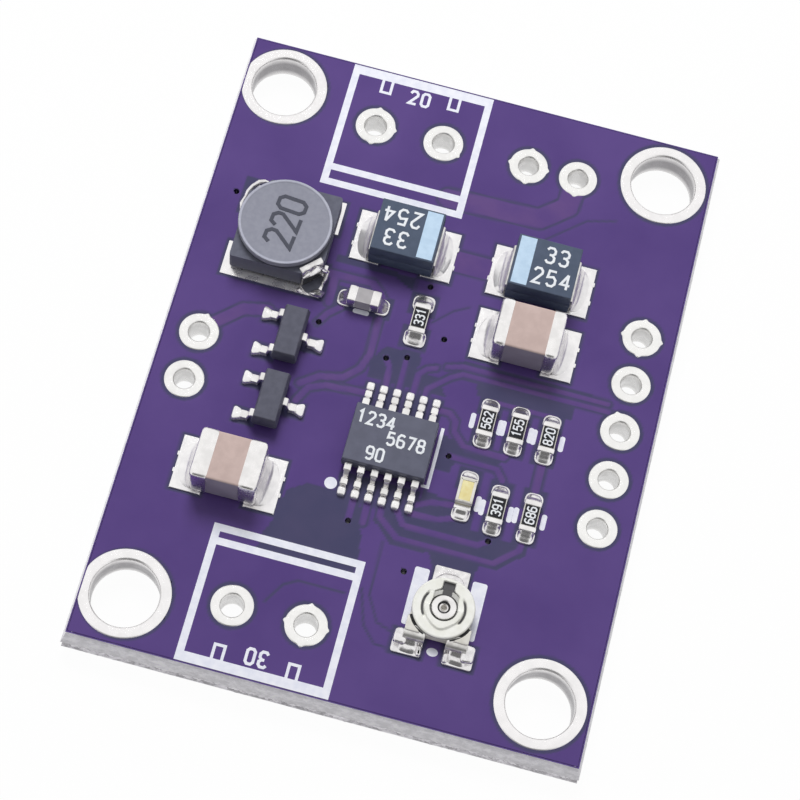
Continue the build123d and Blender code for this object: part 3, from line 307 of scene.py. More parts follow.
# Painted highlight: all below the rim's crest is darkened, so the thin rim shows as a pale line.
painted_shade_by_height(ferrite, 3.412, 3.434, "cdcdcf")
# Dark ferrite for the tray; the same finish paints shade on the inductor's pads.
dark_ferrite_and_painted_shade = plain_finish("dark_ferrite_and_painted_shade", "5b5d6b", "666876", (0.5, 0.65), 0.25, 0.06, 5)
tan_ceramic = plain_finish("tan_ceramic", "c2aca6", "ccb6b0", (0.42, 0.55), 0.5, 0.06, 3)
# Painted shade: the ceramic is darker and bluer on its sides, below the top face.
painted_shade_by_height(tan_ceramic, 3.64, 3.7, "bbc8e6")
white_ceramic = plain_finish("white_ceramic", "ebe9e2", "dedbd2", (0.45, 0.6), 0.4, 0.07, 3)
black_glaze = plain_finish("black_glaze", "1b1b20", "26262c", (0.3, 0.4), 0.4, 0.1, 2)
black_glaze.node_tree.nodes["surface"].inputs["Specular IOR Level"].default_value = 0.25
grey_ceramic = plain_finish("grey_ceramic", "a9a6a9", "b4b1b4", (0.45, 0.6), 0.4, 0.07, 3)
lamp_laminate = plain_finish("lamp_laminate", "d8d4bf", "c9c4ab", (0.35, 0.5), 0.4, 0.08, 3)
lamp_resin = plain_finish("lamp_resin", "f0e8b4", "e6d795", (0.12, 0.22), 0.5, 0.3, 4)
rotor_cream = plain_finish("rotor_cream", "fafaf5", "f2f2ea", (0.3, 0.45), 0.5, 0.1, 3)
# Painted shade: the rotor is dark below 2.37 mm, in its driver slot, its side grooves and on its edge.
painted_shade_by_height(rotor_cream, 2.37, 2.46, "57565c")
# The track's own ink; the same finish paints shade at the trimmer's corners and inside its eyelet.
track_ink = plain_finish("track_ink", "1a1a1a", "26262a", (0.4, 0.55), 0.3, 0.06, 3)
wire = plain_finish("enamelled_wire", "7a3a1a", "5c2a12", (0.2, 0.35), 0.3, 0.2, 10)
pale_print = plain_finish("pale_print", "f4f5fe", "e9ebf8", (0.5, 0.65), 0.4, 0.05, 4)
part_print = plain_finish("part_print", "f2f5f9", "e6eaf0", (0.5, 0.65), 0.3, 0.05, 3)
stripe_print = plain_finish("stripe_print", "c6def4", "bcd5ec", (0.45, 0.6), 0.3, 0.05, 3)
dark_mark = plain_finish("dark_mark", "464853", "50525d", (0.6, 0.75), 0.2, 0.05, 5)

# %% [markdown]
# ## The board's mask
# Solder mask is a tinted glassy coat. Over copper it looks purple, and over bare laminate a darker
# slate. Two point attributes that the mask relief carries, copper and track, say what is below.

# %% The board's mask
board_low, board_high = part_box("circuit_board")


def mask_finish():
    """Purple coat whose tone follows the copper below it."""
    made, tree, surface = finish_of("solder_mask")
    surface.inputs["Specular IOR Level"].default_value = 0.22
    copper = tree.nodes.new("ShaderNodeAttribute")
    copper.attribute_name = "copper"
    track = tree.nodes.new("ShaderNodeAttribute")
    track.attribute_name = "track"
    over_pour = place_group(tree, mottle, First=paint("523d7c"), Second=paint("5b4684"), Size=5.0,
                            Low=0.30, High=0.40)
    over_track = place_group(tree, mottle, First=paint("5a4380"), Second=paint("624982"), Size=1.2)
    bare = place_group(tree, mottle, First=paint("434263"), Second=paint("484566"), Size=1.5)
    poured, tracked = mix_of(tree), mix_of(tree)
    fine = place_group(tree, grit, Size=0.35, Detail=2.0)
    joined(tree,
           (bare.outputs["Color"], poured.inputs["A"]),
           (over_pour.outputs["Color"], poured.inputs["B"]),
           (copper.outputs["Fac"], poured.inputs["Factor"]),
           (poured.outputs["Result"], tracked.inputs["A"]),
           (over_track.outputs["Color"], tracked.inputs["B"]),
           (track.outputs["Fac"], tracked.inputs["Factor"]),
           (tracked.outputs["Result"], surface.inputs["Base Color"]),
           (over_pour.outputs["Value"], surface.inputs["Roughness"]))
    bump_from(tree, surface, fine.outputs["Height"], 3e-6)
    return made


solder_mask = mask_finish()

# %% [markdown]
# ## The snapped edge
# The board was scored with a wheel from both sides and snapped out of its panel. The score's flanks
# are smooth grey, and the web between them is torn glass fibre: pale, with dark dashes. The height
# tells them apart, and the coated faces too.


# %% The snapped edge
def ramp_of(tree, steps):
    """A Color Ramp node through steps of (place, colour)."""
    node = tree.nodes.new("ShaderNodeValToRGB")
    elements = node.color_ramp.elements
    while len(elements) < len(steps):
        elements.new(0.5)
    for element, (place, colour) in zip(elements, steps):
        element.position = place
        element.color = colour
    return node


def edge_finish():
    """Coated faces, smooth scored flanks and a torn web, told apart by height."""
    made, tree, surface = finish_of("board_laminate")
    surface.inputs["Roughness"].default_value = 0.55
    where = tree.nodes.new("ShaderNodeTexCoord")
    parts = tree.nodes.new("ShaderNodeSeparateXYZ")
    height = range_of(tree, 0.0, board_high.z)
    coat, flank, fibre = paint("533f80"), paint("f7f5fa"), paint("f9f6fc")
    bands = ramp_of(tree, [(0.0, coat), (0.012, paint("f4f2f8")), (0.30, flank), (0.34, fibre),
                           (0.66, fibre), (0.70, flank), (0.985, paint("f7f5fb")), (0.997, coat)])
    few, many = (0.3, 0.3, 0.3, 1), (1, 1, 1, 1)
    web = ramp_of(tree, [(0.28, few), (0.34, many), (0.66, many), (0.70, few)])
    stretch = tree.nodes.new("ShaderNodeMapping")
    stretch.inputs["Scale"].default_value = (1, 1, 3)
    torn = tree.nodes.new("ShaderNodeTexNoise")
    torn.inputs["Scale"].default_value = 2200
    torn.inputs["Detail"].default_value = 5
    torn.inputs["Roughness"].default_value = 0.7
    dashes = range_of(tree, 0.42, 0.62, 0.6, 1.4)
    dirty = mix_of(tree, "MULTIPLY")
    joined(tree,
           (where.outputs["Object"], parts.inputs["Vector"]),
           (parts.outputs["Z"], height.inputs["Value"]),
           (height.outputs["Result"], bands.inputs["Fac"]),
           (height.outputs["Result"], web.inputs["Fac"]),
           (where.outputs["Object"], stretch.inputs["Vector"]),
           (stretch.outputs["Vector"], torn.inputs["Vector"]),
           (torn.outputs["Fac"], dashes.inputs["Value"]),
           (web.outputs["Color"], dirty.inputs["Factor"]),
           (bands.outputs["Color"], dirty.inputs["A"]),
           (dashes.outputs["Result"], dirty.inputs["B"]),
           (dirty.outputs["Result"], surface.inputs["Base Color"]))
    bump_from(tree, surface, torn.outputs["Fac"], 2e-5)
    return made


laminate = edge_finish()

# %% Dress the CAD nodes
dress(laminate, "circuit_board")
dress(solder_mask, "via_plating")
dress(tinned, "mounting_hole_plating", "header_hole_plating", "left_pair_plating", "right_pair_plating",
      "upper_terminal_plating", "lower_terminal_plating", "inductor_pads", "power_pads",
      "chip_pads", "tripod_pads", "controller_pads", "trimmer_pads")
dress(solder, "inductor_solder", "tantalum_solder", "ceramic_solder", "chip_solder", "tripod_solder",
      "controller_solder", "trimmer_solder")
dress(satin_tin, "inductor_terminals", "tantalum_straps", "ceramic_end_caps", "resistor_caps",
      "small_capacitor_caps", "lamp_caps", "tripod_legs", "controller_legs", "trimmer_eyelet",
      "trimmer_wiper_terminal", "trimmer_end_terminals")
dress(pale_print, "terminal_outlines", "part_marks")
dress(part_print, "tantalum_marks", "resistor_marks", "controller_mark")
dress(stripe_print, "tantalum_stripes")
dress(dark_mark, "inductor_mark")
dress(dark_case, "left_tantalum_body", "right_tantalum_body")
dress(tripod_case, "upper_tripod_body", "lower_tripod_body")
dress(chip_case, "controller_body")
dress(ferrite, "inductor_core")
dress(dark_ferrite_and_painted_shade, "inductor_base")
dress(tan_ceramic, "upper_ceramic_body", "lower_ceramic_body")
dress(grey_ceramic, "small_capacitor_body")
dress(white_ceramic, "resistor_bodies", "trimmer_base")
dress(black_glaze, "resistor_coatings")
dress(lamp_laminate, "lamp_body")
dress(lamp_resin, "lamp_lens")
dress(rotor_cream, "trimmer_rotor")
dress(track_ink, "trimmer_track")
dress(wire, "inductor_winding")

# %% [markdown]
# ## The mask relief
# Under the mask lie copper tracks a few hundredths of a millimetre high, in a wide copper pour. They
# show as low ridges with a slate moat on each side. A field of distances to the tracks' middle lines
# is worked out on a fine grid, and lifts the grid where there is copper.

# %% Where the copper lies
# Each track is (width, points), in millimetres from the board's centre.
tracks = [
    (0.30, [(-2.2, 2.75), (-2.16, 0.84), (-2.42, 0.02), (-3.1, -0.66), (-4.2, -0.9), (-5.0, -1.5)]),
    (0.28, [(-1.75, -1.1), (-3.8, -1.28), (-4.55, -1.6), (-4.95, -2.4)]),
    (0.26, [(-5.0, 1.8), (-4.65, 2.4), (-4.1, 2.9)]),
    (0.34, [(-5.2, 4.5), (-2.95, 4.55), (-2.5, 4.15), (-2.1, 3.6)]),
    (0.36, [(-4.82, 4.3), (-4.75, 3.0)]),
    (0.24, [(-1.36, 0.92), (-1.1, 0.5), (-1.0, -0.6)]),
    (0.24, [(-0.4, 1.22), (-0.38, -0.6)]),
    (0.22, [(0.33, -0.5), (0.35, 0.5), (0.68, 0.88), (1.1, 1.05)]),
    (0.22, [(0.9, -0.5), (0.95, -0.1), (1.9, 0.78), (2.4, 1.08), (9.6, 1.12)]),
    (0.22, [(1.6, 1.25), (2.3, 1.47), (9.5, 1.5)]),
    (0.24, [(1.55, -1.03), (2.27, -1.03), (2.64, -1.35), (2.7, -1.9), (3.3, -2.5), (5.3, -2.55),
            (5.55, -2.0)]),
    (0.24, [(2.74, -3.17), (5.1, -3.2), (5.5, -3.7)]),
    (0.36, [(7.12, -2.0), (7.12, -3.7)]),
    (0.22, [(4.1, 0.1), (7.1, 0.1)]),
    (0.24, [(0.27, -6.3), (0.36, -7.0), (1.36, -7.8), (6.0, -7.8), (7.05, -6.85), (7.12, -6.2)]),
    (0.24, [(0.93, -6.3), (1.45, -7.05), (1.7, -7.12), (5.1, -7.12), (5.54, -6.8)]),
    (0.24, [(1.9, -5.95), (2.5, -5.65), (3.6, -5.5)]),
    (0.24, [(1.7, -6.45), (3.0, -6.4), (3.8, -6.1)]),
    (0.26, [(-1.04, -6.2), (-1.02, -7.55)]),
    (0.26, [(-0.38, -6.2), (-0.32, -7.5)]),
    (0.55, [(-10.0, 0.2), (-9.2, 0.95), (-8.6, 1.5), (-7.5, 1.75)]),
    (1.00, [(-0.5, 10.1), (4.1, 10.25), (5.3, 11.3), (5.4, 12.9)]),
    (1.10, [(0.6, 6.85), (2.4, 6.85)]),
]
# Places with no pour, as corners in order. The last one is painted shadow beside the small parts.
bare_and_shaded_fields = [
    [(1.9, 0.75), (2.3, 1.8), (8.6, 1.8), (9.3, 1.3), (9.3, 0.95), (8.0, 0.9), (8.0, 0.2),
     (3.3, 0.2), (3.2, 0.75)],
    [(-2.0, -0.3), (-2.0, 0.7), (-1.5, 1.5), (0.2, 1.6), (0.3, 1.2), (0.2, 0.6), (1.3, 0.6),
     (1.9, -0.3)],
    [(2.1, -2.2), (3.0, -2.3), (3.4, -2.75), (5.2, -2.8), (5.0, -3.05), (3.1, -3.05),
     (3.0, -3.95), (2.1, -3.95)],
    [(0.05, -6.4), (0.1, -7.2), (1.1, -8.15), (6.2, -8.12), (7.4, -7.0), (7.5, -5.6),
     (6.7, -5.9), (6.6, -6.6), (6.1, -6.6), (6.0, -5.9), (5.05, -5.9), (5.0, -6.5),
     (4.6, -6.5), (4.5, -5.6), (2.0, -5.1), (1.9, -6.4)],
    [(3.0, -8.1), (5.4, -8.1), (5.3, -8.65), (3.3, -8.65)],
    [(-4.2, -6.9), (-3.3, -6.3), (-0.75, -6.35), (-0.5, -7.5), (-0.2, -8.2), (-0.1, -9.4),
     (-0.1, -10.05), (-4.75, -10.05), (-4.7, -9.2), (-4.35, -8.4)],
    # Painted shadow: slate where the tantalum and the resistor beside it cast shade, not a gap in the pour.
    [(-5.0, 5.2), (-2.0, 5.2), (-1.0, 4.7), (-1.0, 5.4), (-5.0, 5.6)],
]
# Slate moats with no track beside them: the edges between two pours.
moats = [
    (0.10, [(0.8, -8.15), (0.84, -10.8), (1.5, -12.0), (2.4, -12.3)]),
    (0.10, [(0.42, -10.6), (0.95, -12.3), (1.6, -13.0), (2.3, -13.1)]),
    (0.12, [(-3.7, -12.4), (-3.1, -11.4), (-2.5, -11.05), (-0.3, -11.05)]),
    (0.10, [(4.6, 9.2), (6.4, 10.8), (7.8, 11.2)]),
    (0.10, [(0.3, 3.3), (1.2, 4.2), (1.9, 4.6)]),
    (0.10, [(-0.9, 4.6), (-0.9, 6.1)]),
]
track_gap = 0.14
fade = 0.07
print("tracks:", len(tracks), "bare fields:", len(bare_and_shaded_fields), "moats:", len(moats))


# %% Distances on a grid
def line_distance(x, y, points):
    """Distance from each grid point to a bent line."""
    nearest = np.full(x.shape, np.inf)
    for (ax, ay), (bx, by) in zip(points, points[1:]):
        dx, dy = bx - ax, by - ay
        share = np.clip(((x - ax) * dx + (y - ay) * dy) / (dx * dx + dy * dy), 0, 1)
        nearest = np.minimum(nearest, np.hypot(x - ax - share * dx, y - ay - share * dy))
    return nearest


def inside(x, y, corners):
    """True where grid points lie within a closed field."""
    held = np.zeros(x.shape, bool)
    for (ax, ay), (bx, by) in zip(corners, corners[1:] + corners[:1]):
        crosses = (ay > y) != (by > y)
        reach = ax + (y - ay) / np.where(by == ay, 1e-9, by - ay) * (bx - ax)
        held ^= crosses & (x < reach)
    return held


def step(distance, edge):
    """Falls smoothly from 1 to 0 as the distance passes the edge."""
    return 1 - np.clip((distance - edge) / fade + 0.5, 0, 1)


def ridge_over(x, y, lines):
    """Where tracks run, from 0 to 1."""
    ridge = np.zeros(x.shape)
    for width, points in lines:
        ridge = np.maximum(ridge, step(line_distance(x, y, points), width / 2))
    return ridge


def moated(amount, x, y, lines, gap):
    """An amount of copper, cut down beside tracks as far as a gap."""
    for width, points in lines:
        amount = np.minimum(amount, 1 - step(line_distance(x, y, points), width / 2 + gap))
    return amount


# %% [markdown]
# The pads and lands keep a moat too. Their places come from the CAD nodes: a node that holds several
# pads is taken apart into its separate solids, and each gives a box.


# %% Solids of a node
def solid_boxes(name):
    """Lowest and highest corner, in millimetres, of each separate solid in a CAD node."""
    mesh = nodes[name].data
    points = np.array([v.co for v in mesh.vertices]) / MM
    keys, merged = np.unique(np.round(points, 4), axis=0, return_inverse=True)
    merged = merged.reshape(-1)
    parent = list(range(len(keys)))

    def root(i):
        while parent[i] != i:
            parent[i] = parent[parent[i]]
            i = parent[i]
        return i

    for face in mesh.polygons:
        first = root(merged[face.vertices[0]])
        for corner in face.vertices[1:]:
            parent[root(merged[corner])] = first
    groups = {}
    for index in range(len(keys)):
        groups.setdefault(root(index), []).append(index)
    return [(keys[group].min(0), keys[group].max(0)) for group in groups.values()]


def middle(box):
    """The middle of a box of two corners, seen from above."""
    low, high = box
    return (low[0] + high[0]) / 2, (low[1] + high[1]) / 2


def half_size(box):
    """Half of a box's width and length."""
    low, high = box
    return (high[0] - low[0]) / 2, (high[1] - low[1]) / 2


def centre_of(name):
    """The middle of a whole CAD node in millimetres, seen from above."""
    return tuple(v / MM for v in middle(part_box(name)))


pad_nodes = ("inductor_pads", "power_pads", "chip_pads", "tripod_pads", "controller_pads",
             "trimmer_pads")
land_nodes = ("mounting_hole_plating", "header_hole_plating", "left_pair_plating",
              "right_pair_plating", "upper_terminal_plating", "lower_terminal_plating")
pads = [box for name in pad_nodes for box in solid_boxes(name)]
lands = [box for name in land_nodes for box in solid_boxes(name)]
vias = solid_boxes("via_plating")
print("pads:", len(pads), "lands:", len(lands), "vias:", len(vias))


# %% The relief's mesh
coat_width = 23.86
coat_length = 32.26
mask_low = 0.002
mask_high = 0.013
land_overlap = 0.06
via_opening = 0.16
openings = [(*middle(land), half_size(land)[1] - land_overlap) for land in lands]
openings += [(*middle(via), via_opening) for via in vias]


def mask_relief(name, z, up, pitch, copper, lines):
    """A coated face over copper: a grid lifted where the copper is, with openings for the holes."""
    across = int(round(coat_width / pitch))
    along = int(round(coat_length / pitch))
    x = np.linspace(-coat_width / 2, coat_width / 2, across + 1)
    y = np.linspace(-coat_length / 2, coat_length / 2, along + 1)
    x, y = np.meshgrid(x, y)
    ridge = ridge_over(x, y, lines)
    amount = np.maximum(copper(x, y), ridge)
    keep = np.ones((along, across), bool)
    middle_x = (x[:-1, :-1] + x[1:, 1:]) / 2
    middle_y = (y[:-1, :-1] + y[1:, 1:]) / 2
    for hole_x, hole_y, radius in openings:
        away = np.hypot(x - hole_x, y - hole_y)
        near = np.abs(away - radius) < 0.6 * pitch
        x[near] = hole_x + (x[near] - hole_x) * radius / away[near]
        y[near] = hole_y + (y[near] - hole_y) * radius / away[near]
        keep &= np.hypot(middle_x - hole_x, middle_y - hole_y) > radius
    lift = mask_low + (mask_high - mask_low) * amount
    points = np.stack([x, y, z + up * lift], -1).reshape(-1, 3) * MM
    faces = []
    stride = across + 1
    for row, column in zip(*np.nonzero(keep)):
        corner = row * stride + column
        ring = (corner, corner + 1, corner + 1 + stride, corner + stride)
        faces.append(ring if up > 0 else ring[::-1])
    mesh = bpy.data.meshes.new(name)
    mesh.from_pydata(points.tolist(), [], faces)
    for label, values in (("copper", amount), ("track", ridge)):
        attribute = mesh.attributes.new(label, "FLOAT", "POINT")
        attribute.data.foreach_set("value", values.astype(np.float32).reshape(-1))
    tidy = bmesh.new()
    tidy.from_mesh(mesh)
    bmesh.ops.delete(tidy, geom=[v for v in tidy.verts if not v.link_faces], context="VERTS")
    tidy.to_mesh(mesh)
    tidy.free()
    mesh.shade_smooth()
    piece = bpy.data.objects.new(name, mesh)
    bpy.context.scene.collection.objects.link(piece)
    mesh.materials.append(solder_mask)
    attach(piece, "module")
    print(name, "faces:", len(mesh.polygons))


# %% The upper face
land_moat = 0.16
pad_moat = 0.14
upper_pitch = 0.1


def top_copper(x, y):
    """How much pour lies under each point of the upper face, from 0 to 1, with one field of painted shadow
    counted as no pour.
    """
    amount = np.ones(x.shape)
    for field in bare_and_shaded_fields:
        amount = np.minimum(amount, np.where(inside(x, y, field), 0.0, 1.0))
    amount = moated(amount, x, y, tracks, track_gap)
    amount = moated(amount, x, y, moats, 0.0)
    for land in lands:
        away = np.hypot(x - middle(land)[0], y - middle(land)[1])
        amount = np.minimum(amount, 1 - step(away, half_size(land)[0] + land_moat))
    for pad in pads:
        away = np.maximum(np.abs(x - middle(pad)[0]) - half_size(pad)[0],
                          np.abs(y - middle(pad)[1]) - half_size(pad)[1])
        amount = np.minimum(amount, 1 - step(away, pad_moat))
    return amount


mask_relief("mask_over_upper_copper", board_high.z / MM, 1, upper_pitch, top_copper, tracks)

# %% [markdown]
# ## Builders for small shapes
# The parts are a few millimetres long, so each is a skin over rows of points: a turned section, a
# block with soft edges, a strap bent along a path, or solder that climbs a wall. All sizes below are
# in millimetres, and a *seat* is the small map from a part's own axes to the board's.


# %% Builders
board_face = 1.6
nub_height = 0.1
nub_width = 0.1


class Shape:
    """Points in millimetres and faces, gathered until they become one mesh."""

    def __init__(self):
        self.points = []
        self.faces = []

    def skin(self, rows, ends=True, move=None):
        """Faces over closed rows of points; ends closes the first and the last row."""
        first, count = len(self.points), len(rows[0])
        for row in rows:
            self.points.extend(move(p) if move else p for p in row)
        for r in range(len(rows) - 1):
            for c in range(count):
                near, far = first + r * count + c, first + r * count + (c + 1) % count
                self.faces.append((near, far, far + count, near + count))
        if ends:
            last = first + (len(rows) - 1) * count
            self.faces.append(tuple(range(first, first + count))[::-1])
            self.faces.append(tuple(range(last, last + count)))


def piece_of(name, shape, finish, stands_for=(), body="module", crease=38):
    """Turns a shape into an object that rides on a body and stands for CAD nodes."""
    mesh = bpy.data.meshes.new(name)
    mesh.from_pydata([tuple(v * MM for v in p) for p in shape.points], [], shape.faces)
    tidy = bmesh.new()
    tidy.from_mesh(mesh)
    bmesh.ops.remove_doubles(tidy, verts=tidy.verts, dist=2e-8)
    bmesh.ops.recalc_face_normals(tidy, faces=tidy.faces)
    tidy.to_mesh(mesh)
    tidy.free()
    mesh.shade_smooth()
    mesh.set_sharp_from_angle(angle=math.radians(crease))
    mesh.materials.append(finish)
    piece = bpy.data.objects.new(name, mesh)
    bpy.context.scene.collection.objects.link(piece)
    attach(piece, body)
    if stands_for:
        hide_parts(*stands_for)
    return piece


def seat(x, y, turn=0.0):
    """The map from a part's own axes, turned by some degrees, to the board's."""
    c, s = math.cos(math.radians(turn)), math.sin(math.radians(turn))
    return lambda p: (x + c * p[0] - s * p[1], y + s * p[0] + c * p[1], p[2])


def end_seat(x, y, reach, turn):
    """The seat at a part's end, which lies some way out from its middle and looks outwards."""
    out = math.radians(turn)
    return seat(x + reach * math.cos(out), y + reach * math.sin(out), turn)


def turned(shape, x, y, section, steps=48, nubs=(), nub_from=0.0):
    """A closed section of (radius, height) turned about an upright axis, with bumps at some angles."""
    rows = []
    for k in range(steps + 1):
        angle = 2 * math.pi * (k % steps) / steps
        row = []
        for r, z in section:
            if r >= nub_from:
                for nub in nubs:
                    off = (angle - math.radians(nub) + math.pi) % (2 * math.pi) - math.pi
                    r += nub_height * math.exp(-(off * r / nub_width) ** 2)
            row.append((x + r * math.cos(angle), y + r * math.sin(angle), z))
        rows.append(row)
    shape.skin(rows, ends=False)


def outline(x0, x1, y0, y1, corner, count=4):
    """A rounded rectangle's points in order."""
    points = []
    for cx, cy, start in ((x1 - corner, y1 - corner, 0), (x0 + corner, y1 - corner, 90),
                          (x0 + corner, y0 + corner, 180), (x1 - corner, y0 + corner, 270)):
        for k in range(count + 1):
            angle = math.radians(start + 90 * k / count)
            points.append((cx + corner * math.cos(angle), cy + corner * math.sin(angle)))
    return points


def block(shape, move, x0, x1, y0, y1, z0, z1, corner, low, high, waist=None, draft=0.0):
    """A block with rounded upright corners and soft edges; it narrows away from its waist height."""
    levels = [(low * (1 - math.sin(t)), z0 + low * (1 - math.cos(t)))
              for t in (k * math.pi / 6 for k in range(4))]
    if waist is not None:
        levels += [(0.0, waist - 0.02), (0.012, waist), (0.0, waist + 0.02)]
    levels += [(high * (1 - math.cos(t)), z1 - high * (1 - math.sin(t)))
               for t in (k * math.pi / 8 for k in range(5))]
    rows = []
    for inset, z in levels:
        inset += draft * abs(z - (waist if waist is not None else z0))
        ring = outline(x0 + inset, x1 - inset, y0 + inset, y1 - inset, max(corner - inset * 0.5, 0.01))
        rows.append([(x, y, z) for x, y in ring])
    shape.skin(rows, move=move)


def softened(path, radius):
    """A bent line whose corners are replaced by short arcs."""
    count = 4
    done = [path[0]]
    for before, corner, after in zip(path, path[1:], path[2:]):
        ends = []
        for other in (before, after):
            away = math.dist(corner, other)
            share = min(radius / away, 0.45)
            ends.append([corner[i] + (other[i] - corner[i]) * share for i in (0, 1)])
        for k in range(count + 1):
            t = k / count
            done.append(tuple((1 - t) ** 2 * ends[0][i] + 2 * t * (1 - t) * corner[i] + t * t * ends[1][i]
                              for i in (0, 1)))
    done.append(path[-1])
    return done


def strap(shape, move, path, half, thick, radius):
    """A flat strap that follows a path of (out, height) points."""
    line = softened(path, radius)
    rows = []
    for k, (u, z) in enumerate(line):
        before, after = line[max(k - 1, 0)], line[min(k + 1, len(line) - 1)]
        du, dz = after[0] - before[0], after[1] - before[1]
        size = math.hypot(du, dz)
        nu, nz = -dz / size, du / size
        rows.append([(u + nu * n, v, z + nz * n)
                     for v, n in outline(-half, half, -thick / 2, thick / 2, thick * 0.3, 3)])
    shape.skin(rows, move=move)


def meniscus(shape, move, reach, half, rise, low, bow, sag, lip, wave, across=14, along=22):
    """Solder from a wall at u = 0 to its toe: high at the wall, hollow in the middle, a soft lip."""
    rows = []
    for j in range(along + 1):
        v = -1 + 2 * j / along
        v = math.copysign(1 - (1 - abs(v)) ** 1.4, v)
        span = reach * max(1 - abs(v) ** bow, 0.0) ** (1 / bow) + 0.01
        side = max(1 - abs(v) ** 6, 0.0)
        row = [(-0.05, v * half, low - 0.012)]
        for i in range(across + 1):
            u = (i / across) ** 1.2
            z = low + side * (rise * (1 - u) ** sag + lip * (1 - u ** 5) ** 0.5)
            z += side * wave * math.sin(3.2 * math.pi * u) * (1 - u)
            row.append((-0.03 + (span + 0.03) * u, v * half, z))
        row.append((span, v * half, low - 0.012))
        rows.append(row)
    shape.skin(rows, move=move)


def sleeve(shape, move, length, y0, y1, z0, z1, edge, skin=0.04, bulge=0.0):
    """An end cap on a body that runs along -u: its end at u = 0, its inner edge near u = -length."""
    ring = outline(y0, y1, z0, z1, edge, 5)
    middle_y, middle_z = (y0 + y1) / 2, (z0 + z1) / 2
    half_y = (y1 - y0) / 2

    def shrunk(inset):
        return [(middle_y + (y - middle_y) * (1 - inset / half_y),
                 middle_z + (z - middle_z) * (1 - 2 * inset / (z1 - z0))) for y, z in ring]

    rows = [[(-edge * (1 - math.cos(t)), y, z) for y, z in shrunk(edge * (1 - math.sin(t)))]
            for t in (math.pi / 2 * k / 5 for k in range(6))]
    reaches = [length * (1 + bulge * math.cos(math.pi * (y - middle_y) / (y1 - y0)))
               for y, z in ring]
    for share, inset in ((0.35, -0.004), (0.7, -0.006), (0.93, 0.0), (1.0, skin * 0.6), (1.0, skin + 0.02)):
        rows.append([(-reach * share, y, z) for (y, z), reach in zip(shrunk(inset), reaches)])
    shape.skin(rows, move=move)


def slab(shape, move, ring, z0, z1, edge=0.03):
    """A flat block over any outline, with a soft upper edge drawn in towards its middle."""
    middle = [sum(p[i] for p in ring) / len(ring) for i in (0, 1)]

    def drawn(inset):
        return [tuple(p[i] + (middle[i] - p[i]) * inset / max(math.dist(p, middle), 0.05) for i in (0, 1))
                for p in ring]

    shape.skin([[(x, y, z) for x, y in drawn(inset)] for inset, z in
                ((0, z0), (0, z1 - edge), (edge * 0.3, z1 - edge * 0.3), (edge, z1))], move=move)


def arc(radius, start, end, count=12):
    """Points on a circle between two angles in degrees."""
    return [(radius * math.cos(math.radians(start + (end - start) * k / count)),
             radius * math.sin(math.radians(start + (end - start) * k / count))) for k in range(count + 1)]


# %% [markdown]
# ## Plated holes
# Each hole has a tinned land on both faces and a barrel between them. Tin pulls up into a soft dome
# and rounds the hole's mouth. Where a thin spoke ties a land to the copper pour, the tin bulges a
# little, which gives the small nubs on some lands.

# %% Plated holes
land_top = 1.65
board_side = 11.94
mounting_radii = (1.6, 2.15, 0.16)
pin_radii = (0.5, 0.96, 0.1)
terminal_radii = (0.55, 1.0, 0.1)


def plated_hole(shape, x, y, hole, outer, curl, nubs):
    """Two lands and the barrel between them, as one turned section."""
    mouth = [(1 - math.cos(math.pi / 2 * k / 5), 1 - math.sin(math.pi / 2 * k / 5)) for k in range(6)]
    section = [(hole + curl * a, land_top - curl * b) for a, b in mouth]
    section += [(outer - 0.14, land_top - 0.002), (outer - 0.06, land_top - 0.010),
                (outer - 0.02, land_top - 0.025), (outer, land_top - 0.05), (hole + 0.03, 1.58),
                (hole + 0.03, 0.06), (outer, 0.05), (outer - 0.02, 0.0)]
    section += [(hole + curl * a, curl * b) for a, b in reversed(mouth)]
    first = len(shape.points)
    turned(shape, x, y, section, steps=96, nubs=nubs, nub_from=outer - 0.07)
    shape.points[first:] = [(max(px, -board_side), py, pz) for px, py, pz in shape.points[first:]]


# (x, y, angles of the nubs) for each hole
mounting = [(-9.95, 13.85, ()), (9.65, 13.85, ()), (-9.95, -13.75, ()), (9.65, -13.75, ())]
header = [(10.35, 5.353, (0, 90, 180, 270)), (10.35, 2.812, ()), (10.35, 0.273, (110,)),
          (10.35, -2.268, ()), (10.35, -4.808, ())]
left_pair = [(-10.32, -0.254, (80,)), (-10.32, -2.794, ())]
right_pair = [(2.913, 12.97, (0, 90, 180, 270)), (5.452, 12.97, (270,))]
upper_terminal = [(-4.996, 13.0, (0, 90, 270)), (-1.496, 13.0, (-30,))]
lower_terminal = [(-5.076, -13.0, ()), (-1.576, -13.0, (0, 90, 180, 270))]
for name, node, places, radii, finish in (
        ("mounting_ring_tin", "mounting_hole_plating", mounting, mounting_radii, hole_tin),
        ("header_tin", "header_hole_plating", header, pin_radii, pin_tin),
        ("left_pair_tin", "left_pair_plating", left_pair, pin_radii, pin_tin),
        ("right_pair_tin", "right_pair_plating", right_pair, pin_radii, pin_tin),
        ("upper_terminal_tin", "upper_terminal_plating", upper_terminal, terminal_radii, pin_tin),
        ("lower_terminal_tin", "lower_terminal_plating", lower_terminal, terminal_radii, pin_tin)):
    shape = Shape()
    for x, y, nubs in places:
        plated_hole(shape, x, y, *radii, nubs)
    piece_of(name, shape, finish, (node,))

# The via barrels wear the darker purple, painted shade in their bores.
via_section = [(0.14, 1.59), (0.17, 1.6), (0.26, 1.6), (0.26, 1.57), (0.18, 1.55), (0.18, 0.05),
               (0.26, 0.03), (0.26, 0.006), (0.17, 0.006), (0.14, 0.014)]
shape = Shape()
for via in vias:
    turned(shape, *middle(via), via_section, steps=24)
piece_of("via_barrels", shape, via_wall, ("via_plating",))
print("plated lands:", len(lands), "vias:", len(vias))

